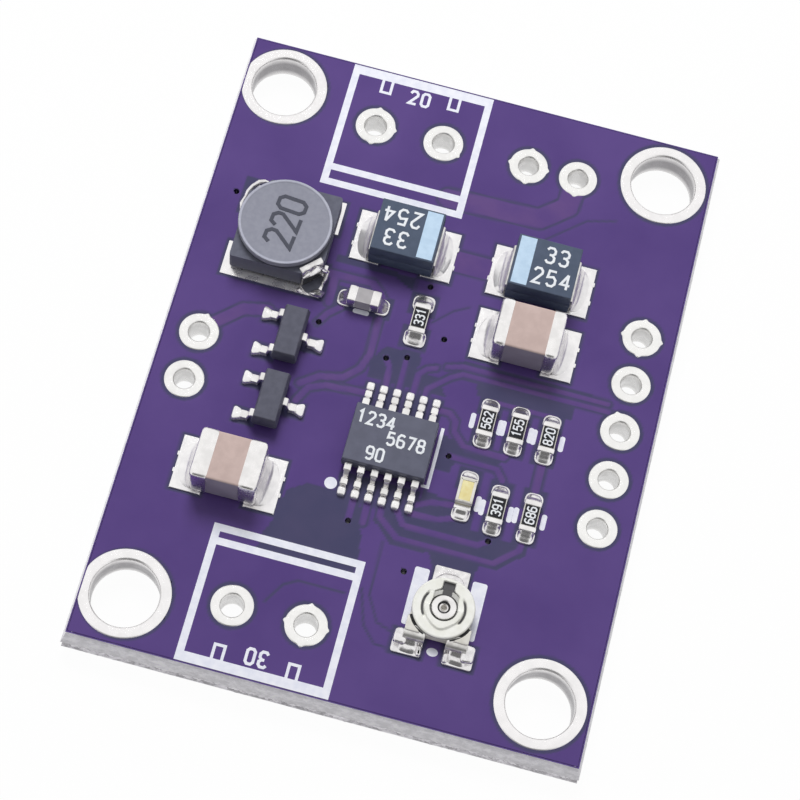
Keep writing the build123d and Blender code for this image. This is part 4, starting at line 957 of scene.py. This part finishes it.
# %% [markdown]
# ## Ceramic and tantalum capacitors
# A ceramic capacitor is a fired block with tin dipped over its ends. The tin's inner edge isn't
# straight, it bows. A tantalum capacitor is a moulded case with a strap bent down each end. Solder
# climbs both from the pad and leaves a hollow, D-shaped face.

# %% Solder on pads
film_low = 1.63
film_top = 1.69
big_pad = (0.93, 1.36, 0.55)
big_end = 1.6


def pad_film(shape, move, out, half, back, top=film_top, corner=0.07):
    """The thin layer of solder on a pad, from under the part to the pad's outer end."""
    block(shape, move, -back, out, -half, half, film_low, top, corner=corner, low=0.004, high=0.03)


def spokes(shape, move, out, width, starts):
    """The tinned ends of the thin spokes that tie a pad to the pour."""
    for start in starts:
        block(shape, move, 0.88, out, start, start + width, 1.61, 1.67, corner=0.04, low=0.004,
              high=0.02)


# %% Ceramic capacitors
body, caps, melt = Shape(), Shape(), Shape()
# (node, length of the left and the right cap, bow of the left and the right cap)
for node, left, right, bow_left, bow_right in (("upper_ceramic_body", 0.62, 0.62, -0.06, 0.1),
                                               ("lower_ceramic_body", 0.8, 0.84, 0.12, 0.12)):
    x, y = centre_of(node)
    block(body, seat(x, y), -1.55, 1.55, -1.2, 1.2, 1.74, 3.74, corner=0.12, low=0.05, high=0.1)
    for turn, length, bow in ((180, left, bow_left), (0, right, bow_right)):
        end = end_seat(x, y, big_end, turn)
        sleeve(caps, end, length, -1.25, 1.25, film_top, 3.78, edge=0.2, bulge=bow)
        pad_film(melt, end, *big_pad)
        meniscus(melt, end, 0.78, 1.2, 1.1, film_top - 0.01, bow=2.1, sag=3.0, lip=0.07, wave=0.03)
        spokes(melt, end, 1.0, 0.22, (-0.5, 0.35))
piece_of("ceramic_blocks", body, tan_ceramic, ("upper_ceramic_body", "lower_ceramic_body"))
piece_of("ceramic_cap_tin", caps, cap_tin, ("ceramic_end_caps",))
piece_of("ceramic_solder_hollows", melt, solder, ("ceramic_solder",))

# %% Tantalum capacitors
tantalum_strap = [(-0.2, 2.55), (0.06, 2.55), (0.07, 1.755), (-0.6, 1.755)]
body, melt, straps = Shape(), Shape(), Shape()
for node in ("left_tantalum_body", "right_tantalum_body"):
    x, y = centre_of(node)
    block(body, seat(x, y), -1.6, 1.6, -1.4, 1.4, 1.81, 3.41, corner=0.05, low=0.03, high=0.045,
          waist=2.6, draft=0.035)
    for turn in (180, 0):
        end = end_seat(x, y, big_end, turn)
        strap(straps, end, tantalum_strap, 1.1, 0.12, 0.1)
        pad_film(melt, end, *big_pad)
        meniscus(melt, end_seat(x, y, big_end + 0.12, turn), 0.62, 1.22, 0.72, film_top - 0.01,
                 bow=2.2, sag=2.0, lip=0.06, wave=0.05)
        spokes(melt, end, 0.99, 0.25, (-0.62, 0.4))
piece_of("tantalum_cases", body, dark_case, ("left_tantalum_body", "right_tantalum_body"))
piece_of("tantalum_bent_straps", straps, satin_tin, ("tantalum_straps",))
piece_of("tantalum_solder_hollows", melt, solder, ("tantalum_solder",))

# %% [markdown]
# ## Small chips
# The resistors, the small capacitor and the lamp all have one outline, with tin on both ends and a
# drop of solder that climbs each end.

# %% Chips along the board
chip_end = 0.8
chip_half = 0.41
narrow_pad = (0.5, 0.45)
wide_pad = (0.6, 0.55)
# (x, y, turn, pad's toe and half width)
resistors = [(-0.289, 3.190, 90, wide_pad), (4.083, -1.110, 90, narrow_pad),
             (5.577, -1.100, 90, narrow_pad), (7.110, -1.131, 90, narrow_pad),
             (5.547, -5.249, 90, narrow_pad), (7.150, -5.208, 90, narrow_pad)]
small_capacitor = [(*centre_of("small_capacitor_body"), 0, narrow_pad)]
lamp = [(*centre_of("lamp_body"), 90, narrow_pad)]
melt = Shape()
# (name, places, length of the caps, their top, node)
for name, group, cap, top, node in (
        ("resistor_cap_tin", resistors, 0.27, 2.11, "resistor_caps"),
        ("small_capacitor_cap_tin", small_capacitor, 0.42, 2.49, "small_capacitor_caps"),
        ("lamp_cap_tin", lamp, 0.24, 1.94, "lamp_caps")):
    caps = Shape()
    for x, y, turn, (toe, pad_half) in group:
        for side in (turn, turn + 180):
            end = end_seat(x, y, chip_end, side)
            sleeve(caps, end, cap, -chip_half, chip_half, film_top, top, edge=0.07, skin=0.02,
                   bulge=0.06)
            block(melt, end, -0.3, toe, -pad_half, pad_half, board_face, film_top + 0.03,
                  corner=0.3, low=0.01, high=0.06)
            meniscus(melt, end, toe - 0.06, pad_half - 0.05, (top - film_top) * 0.8, film_top + 0.01,
                     bow=2.6, sag=1.5, lip=0.05, wave=0.03, across=10, along=16)
    piece_of(name, caps, cap_tin, (node,))
piece_of("chip_solder_hollows", melt, chip_melt, ("chip_solder", "chip_pads"))

# %% [markdown]
# The lamp is a clear cream block in a white frame, on a thin laminate.

# %% Lamp
lamp_low = 1.91
frame_shape, lens_shape = Shape(), Shape()
lamp_seat = seat(*centre_of("lamp_body"))
for x0, x1, y0, y1 in ((-0.41, -0.27, -0.45, 0.66), (0.27, 0.41, -0.45, 0.66),
                       (-0.41, 0.41, 0.56, 0.72), (-0.41, 0.41, -0.52, -0.42)):
    block(frame_shape, lamp_seat, x0, x1, y0, y1, lamp_low, 2.27, corner=0.04, low=0.01, high=0.03)
block(lens_shape, lamp_seat, -0.29, 0.29, -0.44, 0.58, lamp_low, 2.24, corner=0.05, low=0.01, high=0.05)
piece_of("lamp_frame", frame_shape, white_ceramic)
piece_of("lamp_resin_block", lens_shape, lamp_resin, ("lamp_lens",))

# %% [markdown]
# ## Three-legged parts and the controller
# Their legs leave the case level, step down to the board and end in a flat foot. Each foot sits in
# solder that flares to the width of its pad.

# %% Three-legged parts
leg_thickness = 0.13
tripod_side = 0.63
tripod_leg = [(-0.1, 2.31), (0.13, 2.31), (0.24, 1.82), (0.57, 1.82)]
tripod_flare = [(0.24, -0.2), (0.5, -0.21), (0.66, -0.27), (0.86, -0.34), (0.95, -0.33), (1.0, -0.24),
                (1.01, 0.0), (1.0, 0.24), (0.95, 0.33), (0.86, 0.34), (0.66, 0.27), (0.5, 0.21),
                (0.24, 0.2)]
body, legs, melt = Shape(), Shape(), Shape()
for node in ("upper_tripod_body", "lower_tripod_body"):
    x, y = centre_of(node)
    block(body, seat(x, y), -tripod_side, tripod_side, -1.375, 1.375, 1.77, 2.77, corner=0.04,
          low=0.04, high=0.05, waist=2.25, draft=0.22)
    for turn, along in ((180, 0.95), (180, -0.95), (0, 0.0)):
        foot = end_seat(x, y + along, tripod_side, turn)
        strap(legs, foot, tripod_leg, 0.2, leg_thickness, 0.07)
        slab(melt, foot, tripod_flare, board_face, 1.87, 0.12)
piece_of("tripod_cases", body, tripod_case, ("upper_tripod_body", "lower_tripod_body"))
piece_of("tripod_bent_legs", legs, cap_tin, ("tripod_legs",))
piece_of("tripod_solder_flares", melt, solder, ("tripod_solder", "tripod_pads"))

# %% Controller
leg_pitch = 0.65
legs_a_side = 6
controller_side = 1.5
controller_leg = [(-0.1, 2.24), (0.36, 2.24), (0.52, 1.82), (0.98, 1.82)]
body, legs, melt = Shape(), Shape(), Shape()
controller_x, controller_y = centre_of("controller_body")
block(body, seat(controller_x, controller_y), -2.02, 2.02, -controller_side, controller_side, 1.79, 2.65,
      corner=0.05, low=0.03, high=0.035, waist=2.22, draft=0.1)
for turn in (90, 270):
    for k in range(legs_a_side):
        x = controller_x + leg_pitch * (k - (legs_a_side - 1) / 2)
        foot = end_seat(x, controller_y, controller_side, turn)
        strap(legs, foot, controller_leg, 0.13, leg_thickness, 0.07)
        block(legs, foot, -0.02, 0.39, -0.18, 0.18, 2.15, 2.37, corner=0.06, low=0.03, high=0.06)
        block(legs, foot, 0.6, 0.97, -0.18, 0.18, 1.72, 1.96, corner=0.07, low=0.03, high=0.07)
        block(melt, foot, 0.46, 1.44, -0.15, 0.15, board_face, 1.67, corner=0.09, low=0.01, high=0.03)
        block(melt, foot, 1.03, 1.46, -0.195, 0.195, board_face, 1.86, corner=0.11, low=0.01, high=0.09)
piece_of("controller_case", body, chip_case, ("controller_body",))
piece_of("controller_gull_legs", legs, cap_tin, ("controller_legs",))
piece_of("controller_solder_toes", melt, solder, ("controller_solder", "controller_pads"))

# %% [markdown]
# ## The power inductor
# A ferrite tray holds a drum core whose upper disc has a thin raised rim. Two tin straps fold over
# the tray's cut corners, and solder has crept up them in lumps.

# %% Inductor's drum and straps
tray_x, tray_y = centre_of("inductor_base")
core_x, core_y = centre_of("inductor_core")
strap_reach = 2.51
drum_section = [(0, 3.4), (2.08, 3.4), (2.12, 3.405), (2.15, 3.43), (2.2, 3.44), (2.25, 3.43),
                (2.28, 3.39), (2.28, 3.12), (2.25, 3.08), (1.0, 3.08), (1.0, 2.36), (1.93, 2.36),
                (1.93, 2.11), (0, 2.11)]
shape = Shape()
turned(shape, core_x, core_y, drum_section, steps=96)
piece_of("inductor_drum", shape, ferrite, ("inductor_core",))

straps = Shape()
for turn, top in ((135, [(0.07, 2.6), (-0.05, 2.68)]), (-45, [(0.07, 2.7), (-0.02, 3.0), (-0.22, 3.01)])):
    end = end_seat(tray_x, tray_y, strap_reach, turn)
    strap(straps, end, [(-0.4, 1.75), (0.06, 1.75)] + top, 0.6, 0.11, 0.1)
piece_of("inductor_folded_straps", straps, dull_tin_painted_shade, ("inductor_terminals",))


# %% Inductor's solder
# The vector noise takes its offsets from this seed, so the lumps are the same in every run.
lump_seed = 8
lump_floor = 1.62
noise.seed_set(lump_seed)


def bead(shape, points, radii, flat=1.0):
    """A lump of solder along some points, with a radius at each."""
    steps = 10
    rows = []
    for k, (x, y, z) in enumerate(points):
        before, after = points[max(k - 1, 0)], points[min(k + 1, len(points) - 1)]
        tx, ty = after[0] - before[0], after[1] - before[1]
        size = math.hypot(tx, ty) or 1.0
        rows.append([(x - ty / size * radii[k] * math.cos(a), y + tx / size * radii[k] * math.cos(a),
                      z + flat * radii[k] * math.sin(a))
                     for a in (2 * math.pi * j / steps for j in range(steps))])
    shape.skin(rows)


def lumped(shape, size, amount, seed):
    """Moves a shape's points a little, by smooth noise, so that frozen metal isn't too regular."""
    moved = []
    for x, y, z in shape.points:
        shift = noise.noise_vector(Vector((x, y, z)) / size + Vector((seed, seed, seed)))
        moved.append((x + amount * shift.x, y + amount * shift.y, max(z + amount * shift.z, lump_floor)))
    shape.points = moved


melt = Shape()
# (points, radius at each, flatness) for each lump
for points, radii, flat in (
        ([(-5.75, 3.12, 1.7), (-5.5, 3.14, 1.82), (-5.28, 3.2, 1.84), (-5.12, 3.4, 1.7)],
         [0.05, 0.17, 0.2, 0.06], 1.0),
        ([(-6.42, 3.16, 1.7), (-6.28, 3.12, 1.79), (-6.14, 3.12, 1.7)], [0.06, 0.13, 0.06], 1.0),
        ([(-5.3, 3.75, 1.72), (-5.22, 4.0, 1.95), (-5.2, 4.25, 2.1), (-5.22, 4.45, 1.9)],
         [0.08, 0.13, 0.15, 0.06], 1.0),
        ([(-6.16, 3.26, 2.92), (-5.95, 3.5, 3.06), (-5.8, 3.58, 3.0), (-5.6, 3.86, 3.06),
          (-5.36, 4.08, 2.94)], [0.06, 0.17, 0.12, 0.17, 0.06], 0.6),
        ([(-5.42, 3.9, 2.95), (-5.26, 3.98, 2.8), (-5.2, 4.08, 2.55), (-5.2, 4.12, 2.3)],
         [0.08, 0.13, 0.13, 0.06], 1.0),
        ([(-10.17, 6.55, 1.7), (-10.17, 6.85, 1.78), (-10.15, 7.2, 1.8), (-10.08, 7.55, 1.83),
          (-9.93, 7.9, 1.86), (-9.68, 8.18, 1.88), (-9.4, 8.32, 1.86), (-9.1, 8.35, 1.74)],
         [0.05, 0.11, 0.08, 0.13, 0.1, 0.13, 0.09, 0.04], 1.0),
        ([(-9.35, 7.98, 1.85), (-9.2, 7.9, 2.05), (-9.1, 7.78, 1.95)], [0.08, 0.15, 0.08], 1.0)):
    bead(melt, points, radii, flat)
lumped(melt, 0.35, 0.07, 4.0)
piece_of("inductor_solder_lumps", melt, chip_melt, ("inductor_solder",))

# %% Inductor's pads
lower_pad = [(-10.248, 3.023), (-5.248, 3.023), (-5.248, 4.823), (-10.248, 4.823)]
upper_pad = [(-10.2, 6.563), (-5.248, 6.563), (-5.248, 8.363), (-9.1, 8.363), (-9.65, 8.12),
             (-9.98, 7.7), (-10.14, 7.1)]
# The two outlines below are painted shade: dark slabs on the pads where the straps and the body shade them.
upper_painted_shade = [(-10.08, 6.6), (-9.2, 6.6), (-8.6, 7.2), (-8.7, 8.1), (-9.15, 8.28), (-9.6, 8.05),
                 (-9.92, 7.66), (-10.06, 7.1)]
lower_painted_shade = [(-6.25, 3.42), (-6.0, 3.18), (-5.72, 3.12), (-5.62, 3.3), (-5.42, 3.48),
                 (-5.33, 3.75), (-5.34, 4.1), (-5.42, 4.25), (-5.83, 3.84)]
on_board = seat(0, 0)
shape = Shape()
slab(shape, on_board, lower_pad, 1.602, land_top, 0.02)
slab(shape, on_board, upper_pad, 1.602, land_top, 0.02)
piece_of("inductor_pad_tin", shape, tinned, ("inductor_pads",))
# Painted shade between the straps and the inductor's body, laid as thin dark slabs.
shape = Shape()
slab(shape, on_board, upper_painted_shade, 1.64, 1.72, 0.04)
slab(shape, on_board, lower_painted_shade, 1.64, 1.7, 0.03)
piece_of("inductor_painted_shade", shape, dark_ferrite_and_painted_shade)

# %% [markdown]
# ## The trimmer
# A cream ceramic rotor turns under an eyelet, on a white ceramic plate with tin straps. The rotor has
# a raised hub, a driver slot from the hub to one side, and shallow grooves at the hub's flanks.

# %% Trimmer's rotor
trimmer_x, trimmer_y = centre_of("trimmer_eyelet")
rotor_bore = 0.4
rotor_flat = 0.58
rotor_radius = 1.46
rotor_low = 2.33
rings = 44
sectors = 160


def smooth(value, low, high):
    """0 below low, 1 above high, smooth between."""
    t = min(max((value - low) / (high - low), 0.0), 1.0)
    return t * t * (3 - 2 * t)


def rotor_height(radius, angle):
    """The rotor's upper face, with hub, slot and grooves."""
    below = abs((angle - 1.5 * math.pi + math.pi) % (2 * math.pi) - math.pi)
    hub = 0.9 + 0.14 * math.exp(-(below / 0.42) ** 2)
    z = 2.38 + 0.12 * smooth(radius, 0.62, 0.65)
    z += 0.11 * smooth(radius, 0.63, 0.68) * (1 - smooth(radius, hub - 0.03, hub + 0.06))
    aside = abs(math.cos(angle))
    z -= 0.14 * smooth(aside, 0.74, 0.9) * smooth(radius, 0.92, 0.96) * (1 - smooth(radius, 1.02, 1.08))
    x, y = radius * math.cos(angle), radius * math.sin(angle)
    if y > 0:
        flare = 0.25 + 0.32 * (1 - smooth(y, 0.66, 0.95))
        z -= 0.19 * (1 - smooth(abs(x), flare, flare + 0.06)) * (1 - smooth(y, 1.24, 1.3))
        z = min(z, 2.36 + 0.14 * smooth(abs(x), 0.2, 0.25) + 0.14 * smooth(y, 1.22, 1.28))
    return z - 0.06 * smooth(radius, 1.38, rotor_radius) ** 2


shape = Shape()
radii = [rotor_bore] + [rotor_flat + (rotor_radius - rotor_flat) * k / rings for k in range(rings + 1)]
rows = []
for k in range(sectors + 1):
    angle = 2 * math.pi * (k % sectors) / sectors
    profile = [(r, rotor_height(r, angle)) for r in radii]
    profile += [(rotor_radius, 2.36), (1.44, rotor_low), (rotor_bore, rotor_low)]
    rows.append([(trimmer_x + r * math.cos(angle), trimmer_y + r * math.sin(angle), z)
                 for r, z in profile])
shape.skin(rows, ends=False)
piece_of("trimmer_slotted_rotor", shape, rotor_cream, ("trimmer_rotor",),
         body="trimmer_rotor", crease=50)

# %% Trimmer's eyelet and plate
eyelet_section = [(0.13, 1.85), (0.34, 1.85), (0.34, 2.53), (0.55, 2.545), (0.575, 2.57), (0.55, 2.61),
                  (0.47, 2.63), (0.35, 2.62), (0.3, 2.58), (0.28, 2.4), (0.22, 2.4), (0.21, 2.5),
                  (0.18, 2.52), (0.15, 2.5), (0.13, 2.42)]
shape = Shape()
turned(shape, trimmer_x, trimmer_y, eyelet_section, steps=64)
piece_of("trimmer_rolled_eyelet", shape, cap_tin, ("trimmer_eyelet",))

shape = Shape()
here = seat(trimmer_x, trimmer_y)
foot_corners = [(-1.5, -1.38), (-1.46, -1.42), (1.46, -1.42), (1.5, -1.38)]
left_hook = [(-1.5, -1.36), (-1.5, -0.72)] + arc(1.6, 206, 238, 8) + [(-0.8, -1.42), (-1.44, -1.42)]
right_hook = [(1.5, -0.72), (1.5, -1.36), (1.44, -1.42), (0.8, -1.42)] + arc(1.6, -58, -26, 8)
slab(shape, here, arc(1.45, -15, 195, 30) + foot_corners, 1.83, 2.25)
slab(shape, here, left_hook, 2.2, 2.46, 0.05)
slab(shape, here, right_hook, 2.2, 2.46, 0.05)
slab(shape, here, arc(1.44, 236, 304, 14) + arc(1.36, 304, 236, 14), 2.2, 2.3, 0.02)
piece_of("trimmer_ceramic_plate", shape, white_ceramic, ("trimmer_base",))

# %% Trimmer's dark corners: track ink and painted shade
hook_line = ((1.27, 0.84), (1.27, 1.0), (1.16, 1.14), (0.92, 1.26), (0.62, 1.4))
hook_radii = [0.03, 0.05, 0.06, 0.05, 0.03]
shape = Shape()
# The arcs at the plate's lower corners are partly the track's real ink ends and partly painted shade beside
# the rotor's edge.
for start, end in ((204, 242), (298, 336)):
    slab(shape, here, arc(1.3, start, end) + arc(1.6, end, start), 2.24, 2.27, 0.005)
# The hooked beads are painted shadow in the gaps between the rotor and the end straps.
for hand in (-1, 1):
    bead(shape, [(trimmer_x + hand * x, trimmer_y - y, 2.33) for x, y in hook_line], hook_radii)
# The ring inside the eyelet is painted shade in its bore.
turned(shape, trimmer_x, trimmer_y, [(0.21, 2.3), (0.285, 2.3), (0.285, 2.47), (0.21, 2.47)], steps=32)
piece_of("trimmer_ink_and_painted_shade", shape, track_ink)

# %% Trimmer's straps and solder
end_strap = [(-0.32, 2.27), (0.0, 2.27), (0.2, 2.2), (0.3, 2.02), (0.24, 1.84), (0.05, 1.76), (-0.3, 1.76)]
straps, melt = Shape(), Shape()
for hand, lump_end in ((-1, -2.02), (1, -2.12)):
    strap(straps, seat(trimmer_x + hand, trimmer_y - 1.42, 270), end_strap, 0.5, 0.09, 0.1)
    end = seat(trimmer_x + 1.2 * hand, trimmer_y - 1.25, 270)
    block(melt, end, 0.0, 1.12, -0.715, 0.715, board_face, 1.7, corner=0.16, low=0.01, high=0.05)
    meniscus(melt, seat(trimmer_x + 1.15 * hand, trimmer_y - 1.66, 270), 0.62, 0.5, 0.3, film_top,
             bow=4, sag=1.2, lip=0.06, wave=0.05)
    left, right = sorted((1.3 * hand, 1.9 * hand))
    block(melt, here, left, right, lump_end, -1.28, 1.65, 2.1, corner=0.17, low=0.01, high=0.12)
    left, right = sorted((0.5 * hand, 0.74 * hand))
    block(melt, here, left, right, -2.32, -1.8, 1.65, 1.88, corner=0.11, low=0.01, high=0.1)
pad_film(melt, seat(trimmer_x, trimmer_y + 1.3, 90), 0.86, 0.835, 0.3, 1.86, corner=0.06)
meniscus(melt, seat(trimmer_x, trimmer_y + 1.34, 90), 0.56, 0.72, 0.3, 1.84, bow=2, sag=1.6,
         lip=0.07, wave=0.05)
lumped(melt, 0.5, 0.03, 9.0)
piece_of("trimmer_end_straps", straps, satin_tin, ("trimmer_end_terminals",))
piece_of("trimmer_solder_lumps", melt, chip_melt, ("trimmer_solder", "trimmer_pads"))

# %% [markdown]
# ## The board's snapped edge and underside
# The web between the two scores broke when the board left its panel, so it is rough. The underside
# isn't in the photograph: a wide pour with a few crossing tracks is a plain guess.

# %% Snapped edge
web_reach = 0.22
rim_pitch = 0.1
half_width = board_high.x / MM - web_reach
half_length = board_high.y / MM - web_reach
front_share = (-board_low.y / MM - half_length) / web_reach


def rim_points(grow):
    """A rectangle's points at an even pitch, grown outwards, with the distance along the edge.

    It grows further at the front, where the panel's rail broke off.
    """
    corners = [(half_width, -half_length), (half_width, half_length), (-half_width, half_length),
               (-half_width, -half_length)]
    points, along = [], 0.0
    for (ax, ay), (bx, by) in zip(corners, corners[1:] + corners[:1]):
        count = int(round(math.dist((ax, ay), (bx, by)) / rim_pitch))
        for k in range(count):
            x, y = ax + (bx - ax) * k / count, ay + (by - ay) * k / count
            out = grow * front_share if y < 1e-6 - half_length and grow > 0 else grow
            points.append((x + math.copysign(grow, x) * (abs(x) > half_width - 1e-6),
                           y + math.copysign(out, y) * (abs(y) > half_length - 1e-6), along))
            along += rim_pitch
    return points


def torn(along, z):
    """How far the web is torn back at a place: mostly a little, and in some places more."""
    fine = noise.noise(Vector((along / 0.16, z / 0.12, 3.0)))
    broad = noise.noise(Vector((along / 0.9, z / 0.3, 7.0)))
    return 0.05 + 0.045 * fine + 0.06 * max(broad, 0.0)


# (how far out, height, roughness) from the lower face to the upper one
levels = [(-0.06, 0.004, 0), (0.0, 0.0, 0), (0.11, 0.25, 0), (0.2, 0.46, 0), (web_reach, 0.5, 0.3)]
levels += [(web_reach, 0.56 + 0.08 * k, 1) for k in range(7)]
levels += [(web_reach, 1.1, 0.3), (0.2, 1.14, 0), (0.11, 1.35, 0), (0.0, 1.6, 0), (-0.06, 1.604, 0)]
shape = Shape()
rows = []
for grow, z, rough in levels:
    row = []
    for (x, y, along), (x0, y0, _) in zip(rim_points(grow), rim_points(0.0)):
        back = rough * torn(along, z) / web_reach
        row.append((x - back * (x - x0), y - back * (y - y0), z))
    rows.append(row)
shape.skin(rows, ends=False)
piece_of("snapped_board_edge", shape, laminate, ("circuit_board",), crease=60)

# %% Underside
under_tracks = [(0.3, [(-10.7, 7.5), (-9.6, 6.4), (-9.6, 0.6)]),
                (0.3, [(-4.95, 1.84), (-3.6, 0.5), (-1.35, 0.9)]),
                (0.25, [(-0.39, 1.2), (2.2, 1.2), (8.9, 0.4)]),
                (0.3, [(-0.21, 5.14), (2.4, 7.8), (4.6, 11.9)]),
                (0.25, [(1.1, 2.61), (3.0, 2.61), (9.0, -2.0)]),
                (0.25, [(-1.02, -7.59), (-3.6, -10.2), (-4.4, -12.2)]),
                (0.25, [(2.74, -3.17), (5.54, -6.8)]),
                (0.25, [(2.1, -9.3), (1.2, -10.6), (-0.9, -12.3)])]
under_gap = 0.2
under_land_moat = 0.22
rim_gap = 0.3
under_height = 0.016
under_pitch = 0.15


def under_copper(x, y):
    """How much pour lies over each point of the underside, from 0 to 1."""
    amount = moated(np.ones(x.shape), x, y, under_tracks, under_gap)
    for land in lands:
        away = np.hypot(x - middle(land)[0], y - middle(land)[1])
        amount = np.minimum(amount, 1 - step(away, half_size(land)[1] + under_land_moat))
    rim = np.minimum(coat_width / 2 - np.abs(x), coat_length / 2 - np.abs(y))
    return np.minimum(amount, 1 - step(rim, rim_gap))


mask_relief("mask_over_lower_copper", under_height, -1, under_pitch, under_copper, under_tracks)

# %% [markdown]
# ## Light and floor
# The photograph was taken in a white tent: light from everywhere, a little stronger from above and
# behind, so that each part drops a short soft shadow towards the viewer. Mirroring surfaces see
# white all round, which is why the metal looks white, but for the tent's darker opening in front.

# %% World
fill_level = 0.41
opening_shade = 0.14
opening_direction = (0.0, -0.87, 0.5)
world = bpy.data.worlds.new("white_tent")
bpy.context.scene.world = world
world.use_nodes = True
sky = world.node_tree
sky.nodes.clear()
path = sky.nodes.new("ShaderNodeLightPath")
seen = math_of(sky, "MAXIMUM")
seen_all = math_of(sky, "MAXIMUM")
strength = range_of(sky, to_low=fill_level)
toward = sky.nodes.new("ShaderNodeTexCoord")
opening = sky.nodes.new("ShaderNodeVectorMath")
opening.operation = "DOT_PRODUCT"
opening.inputs[1].default_value = opening_direction
darkened = range_of(sky, 0.72, 0.96, 1.0, opening_shade)
darkened.interpolation_type = "SMOOTHSTEP"
clear = math_of(sky, "MAXIMUM")
spared = math_of(sky, "MAXIMUM")
level = math_of(sky, "MULTIPLY")
backdrop = sky.nodes.new("ShaderNodeBackground")
backdrop.inputs["Color"].default_value = (1, 1, 1, 1)
world_out = sky.nodes.new("ShaderNodeOutputWorld")
joined(sky,
       (path.outputs["Is Camera Ray"], seen.inputs[0]),
       (path.outputs["Is Glossy Ray"], seen.inputs[1]),
       (seen.outputs[0], seen_all.inputs[0]),
       (path.outputs["Is Transmission Ray"], seen_all.inputs[1]),
       (seen_all.outputs[0], strength.inputs["Value"]),
       (toward.outputs["Generated"], opening.inputs[0]),
       (opening.outputs["Value"], darkened.inputs["Value"]),
       (darkened.outputs["Result"], clear.inputs[0]),
       (path.outputs["Is Camera Ray"], spared.inputs[0]),
       (path.outputs["Is Diffuse Ray"], spared.inputs[1]),
       (spared.outputs[0], clear.inputs[1]),
       (clear.outputs[0], level.inputs[0]),
       (strength.outputs["Result"], level.inputs[1]),
       (level.outputs[0], backdrop.inputs["Strength"]),
       (backdrop.outputs["Background"], world_out.inputs["Surface"]))


# %% Lamp over the tent
def soft_lamp(name, place, target, size, power):
    """A square area lamp, in millimetres and watts, aimed at a point."""
    data = bpy.data.lights.new(name, "AREA")
    data.shape = "SQUARE"
    data.size = size * MM
    data.energy = power
    lamp = bpy.data.objects.new(name, data)
    lamp.location = Vector(place) * MM
    aim = Vector(target) * MM - lamp.location
    lamp.rotation_euler = aim.to_track_quat("-Z", "Y").to_euler()
    bpy.context.scene.collection.objects.link(lamp)
    return lamp


key = soft_lamp("tent_key", (-40, 100, 165), (0, 0, 0), 80, 0.26)
key.visible_glossy = False
print("key lamp at", [round(v / MM) for v in key.location], "mm")

# %% Floor
floor_reach = 0.6
floor_drop = 0.00002
floor_glow = 0.97
floor_mesh = bpy.data.meshes.new("floor")
floor_corners = [(-floor_reach, -floor_reach, 0), (floor_reach, -floor_reach, 0),
                 (floor_reach, floor_reach, 0), (-floor_reach, floor_reach, 0)]
floor_mesh.from_pydata(floor_corners, [], [(0, 1, 2, 3)])
floor = bpy.data.objects.new("floor", floor_mesh)
floor.location.z = -floor_drop
bpy.context.scene.collection.objects.link(floor)
floor_paint = bpy.data.materials.new("white_floor")
floor_paint.use_nodes = True
tree = floor_paint.node_tree
tree.nodes.clear()
matt = tree.nodes.new("ShaderNodeBsdfDiffuse")
matt.inputs["Color"].default_value = (0.86, 0.86, 0.86, 1)
glow = tree.nodes.new("ShaderNodeEmission")
path = tree.nodes.new("ShaderNodeLightPath")
seen = math_of(tree, "MAXIMUM")
share = math_of(tree, "MULTIPLY", floor_glow)
mix = tree.nodes.new("ShaderNodeMixShader")
output = tree.nodes.new("ShaderNodeOutputMaterial")
joined(tree,
       (path.outputs["Is Camera Ray"], seen.inputs[0]),
       (path.outputs["Is Glossy Ray"], seen.inputs[1]),
       (seen.outputs[0], share.inputs[0]),
       (share.outputs[0], mix.inputs["Fac"]),
       (matt.outputs["BSDF"], mix.inputs[1]),
       (glow.outputs["Emission"], mix.inputs[2]),
       (mix.outputs["Shader"], output.inputs["Surface"]))
floor_mesh.materials.append(floor_paint)
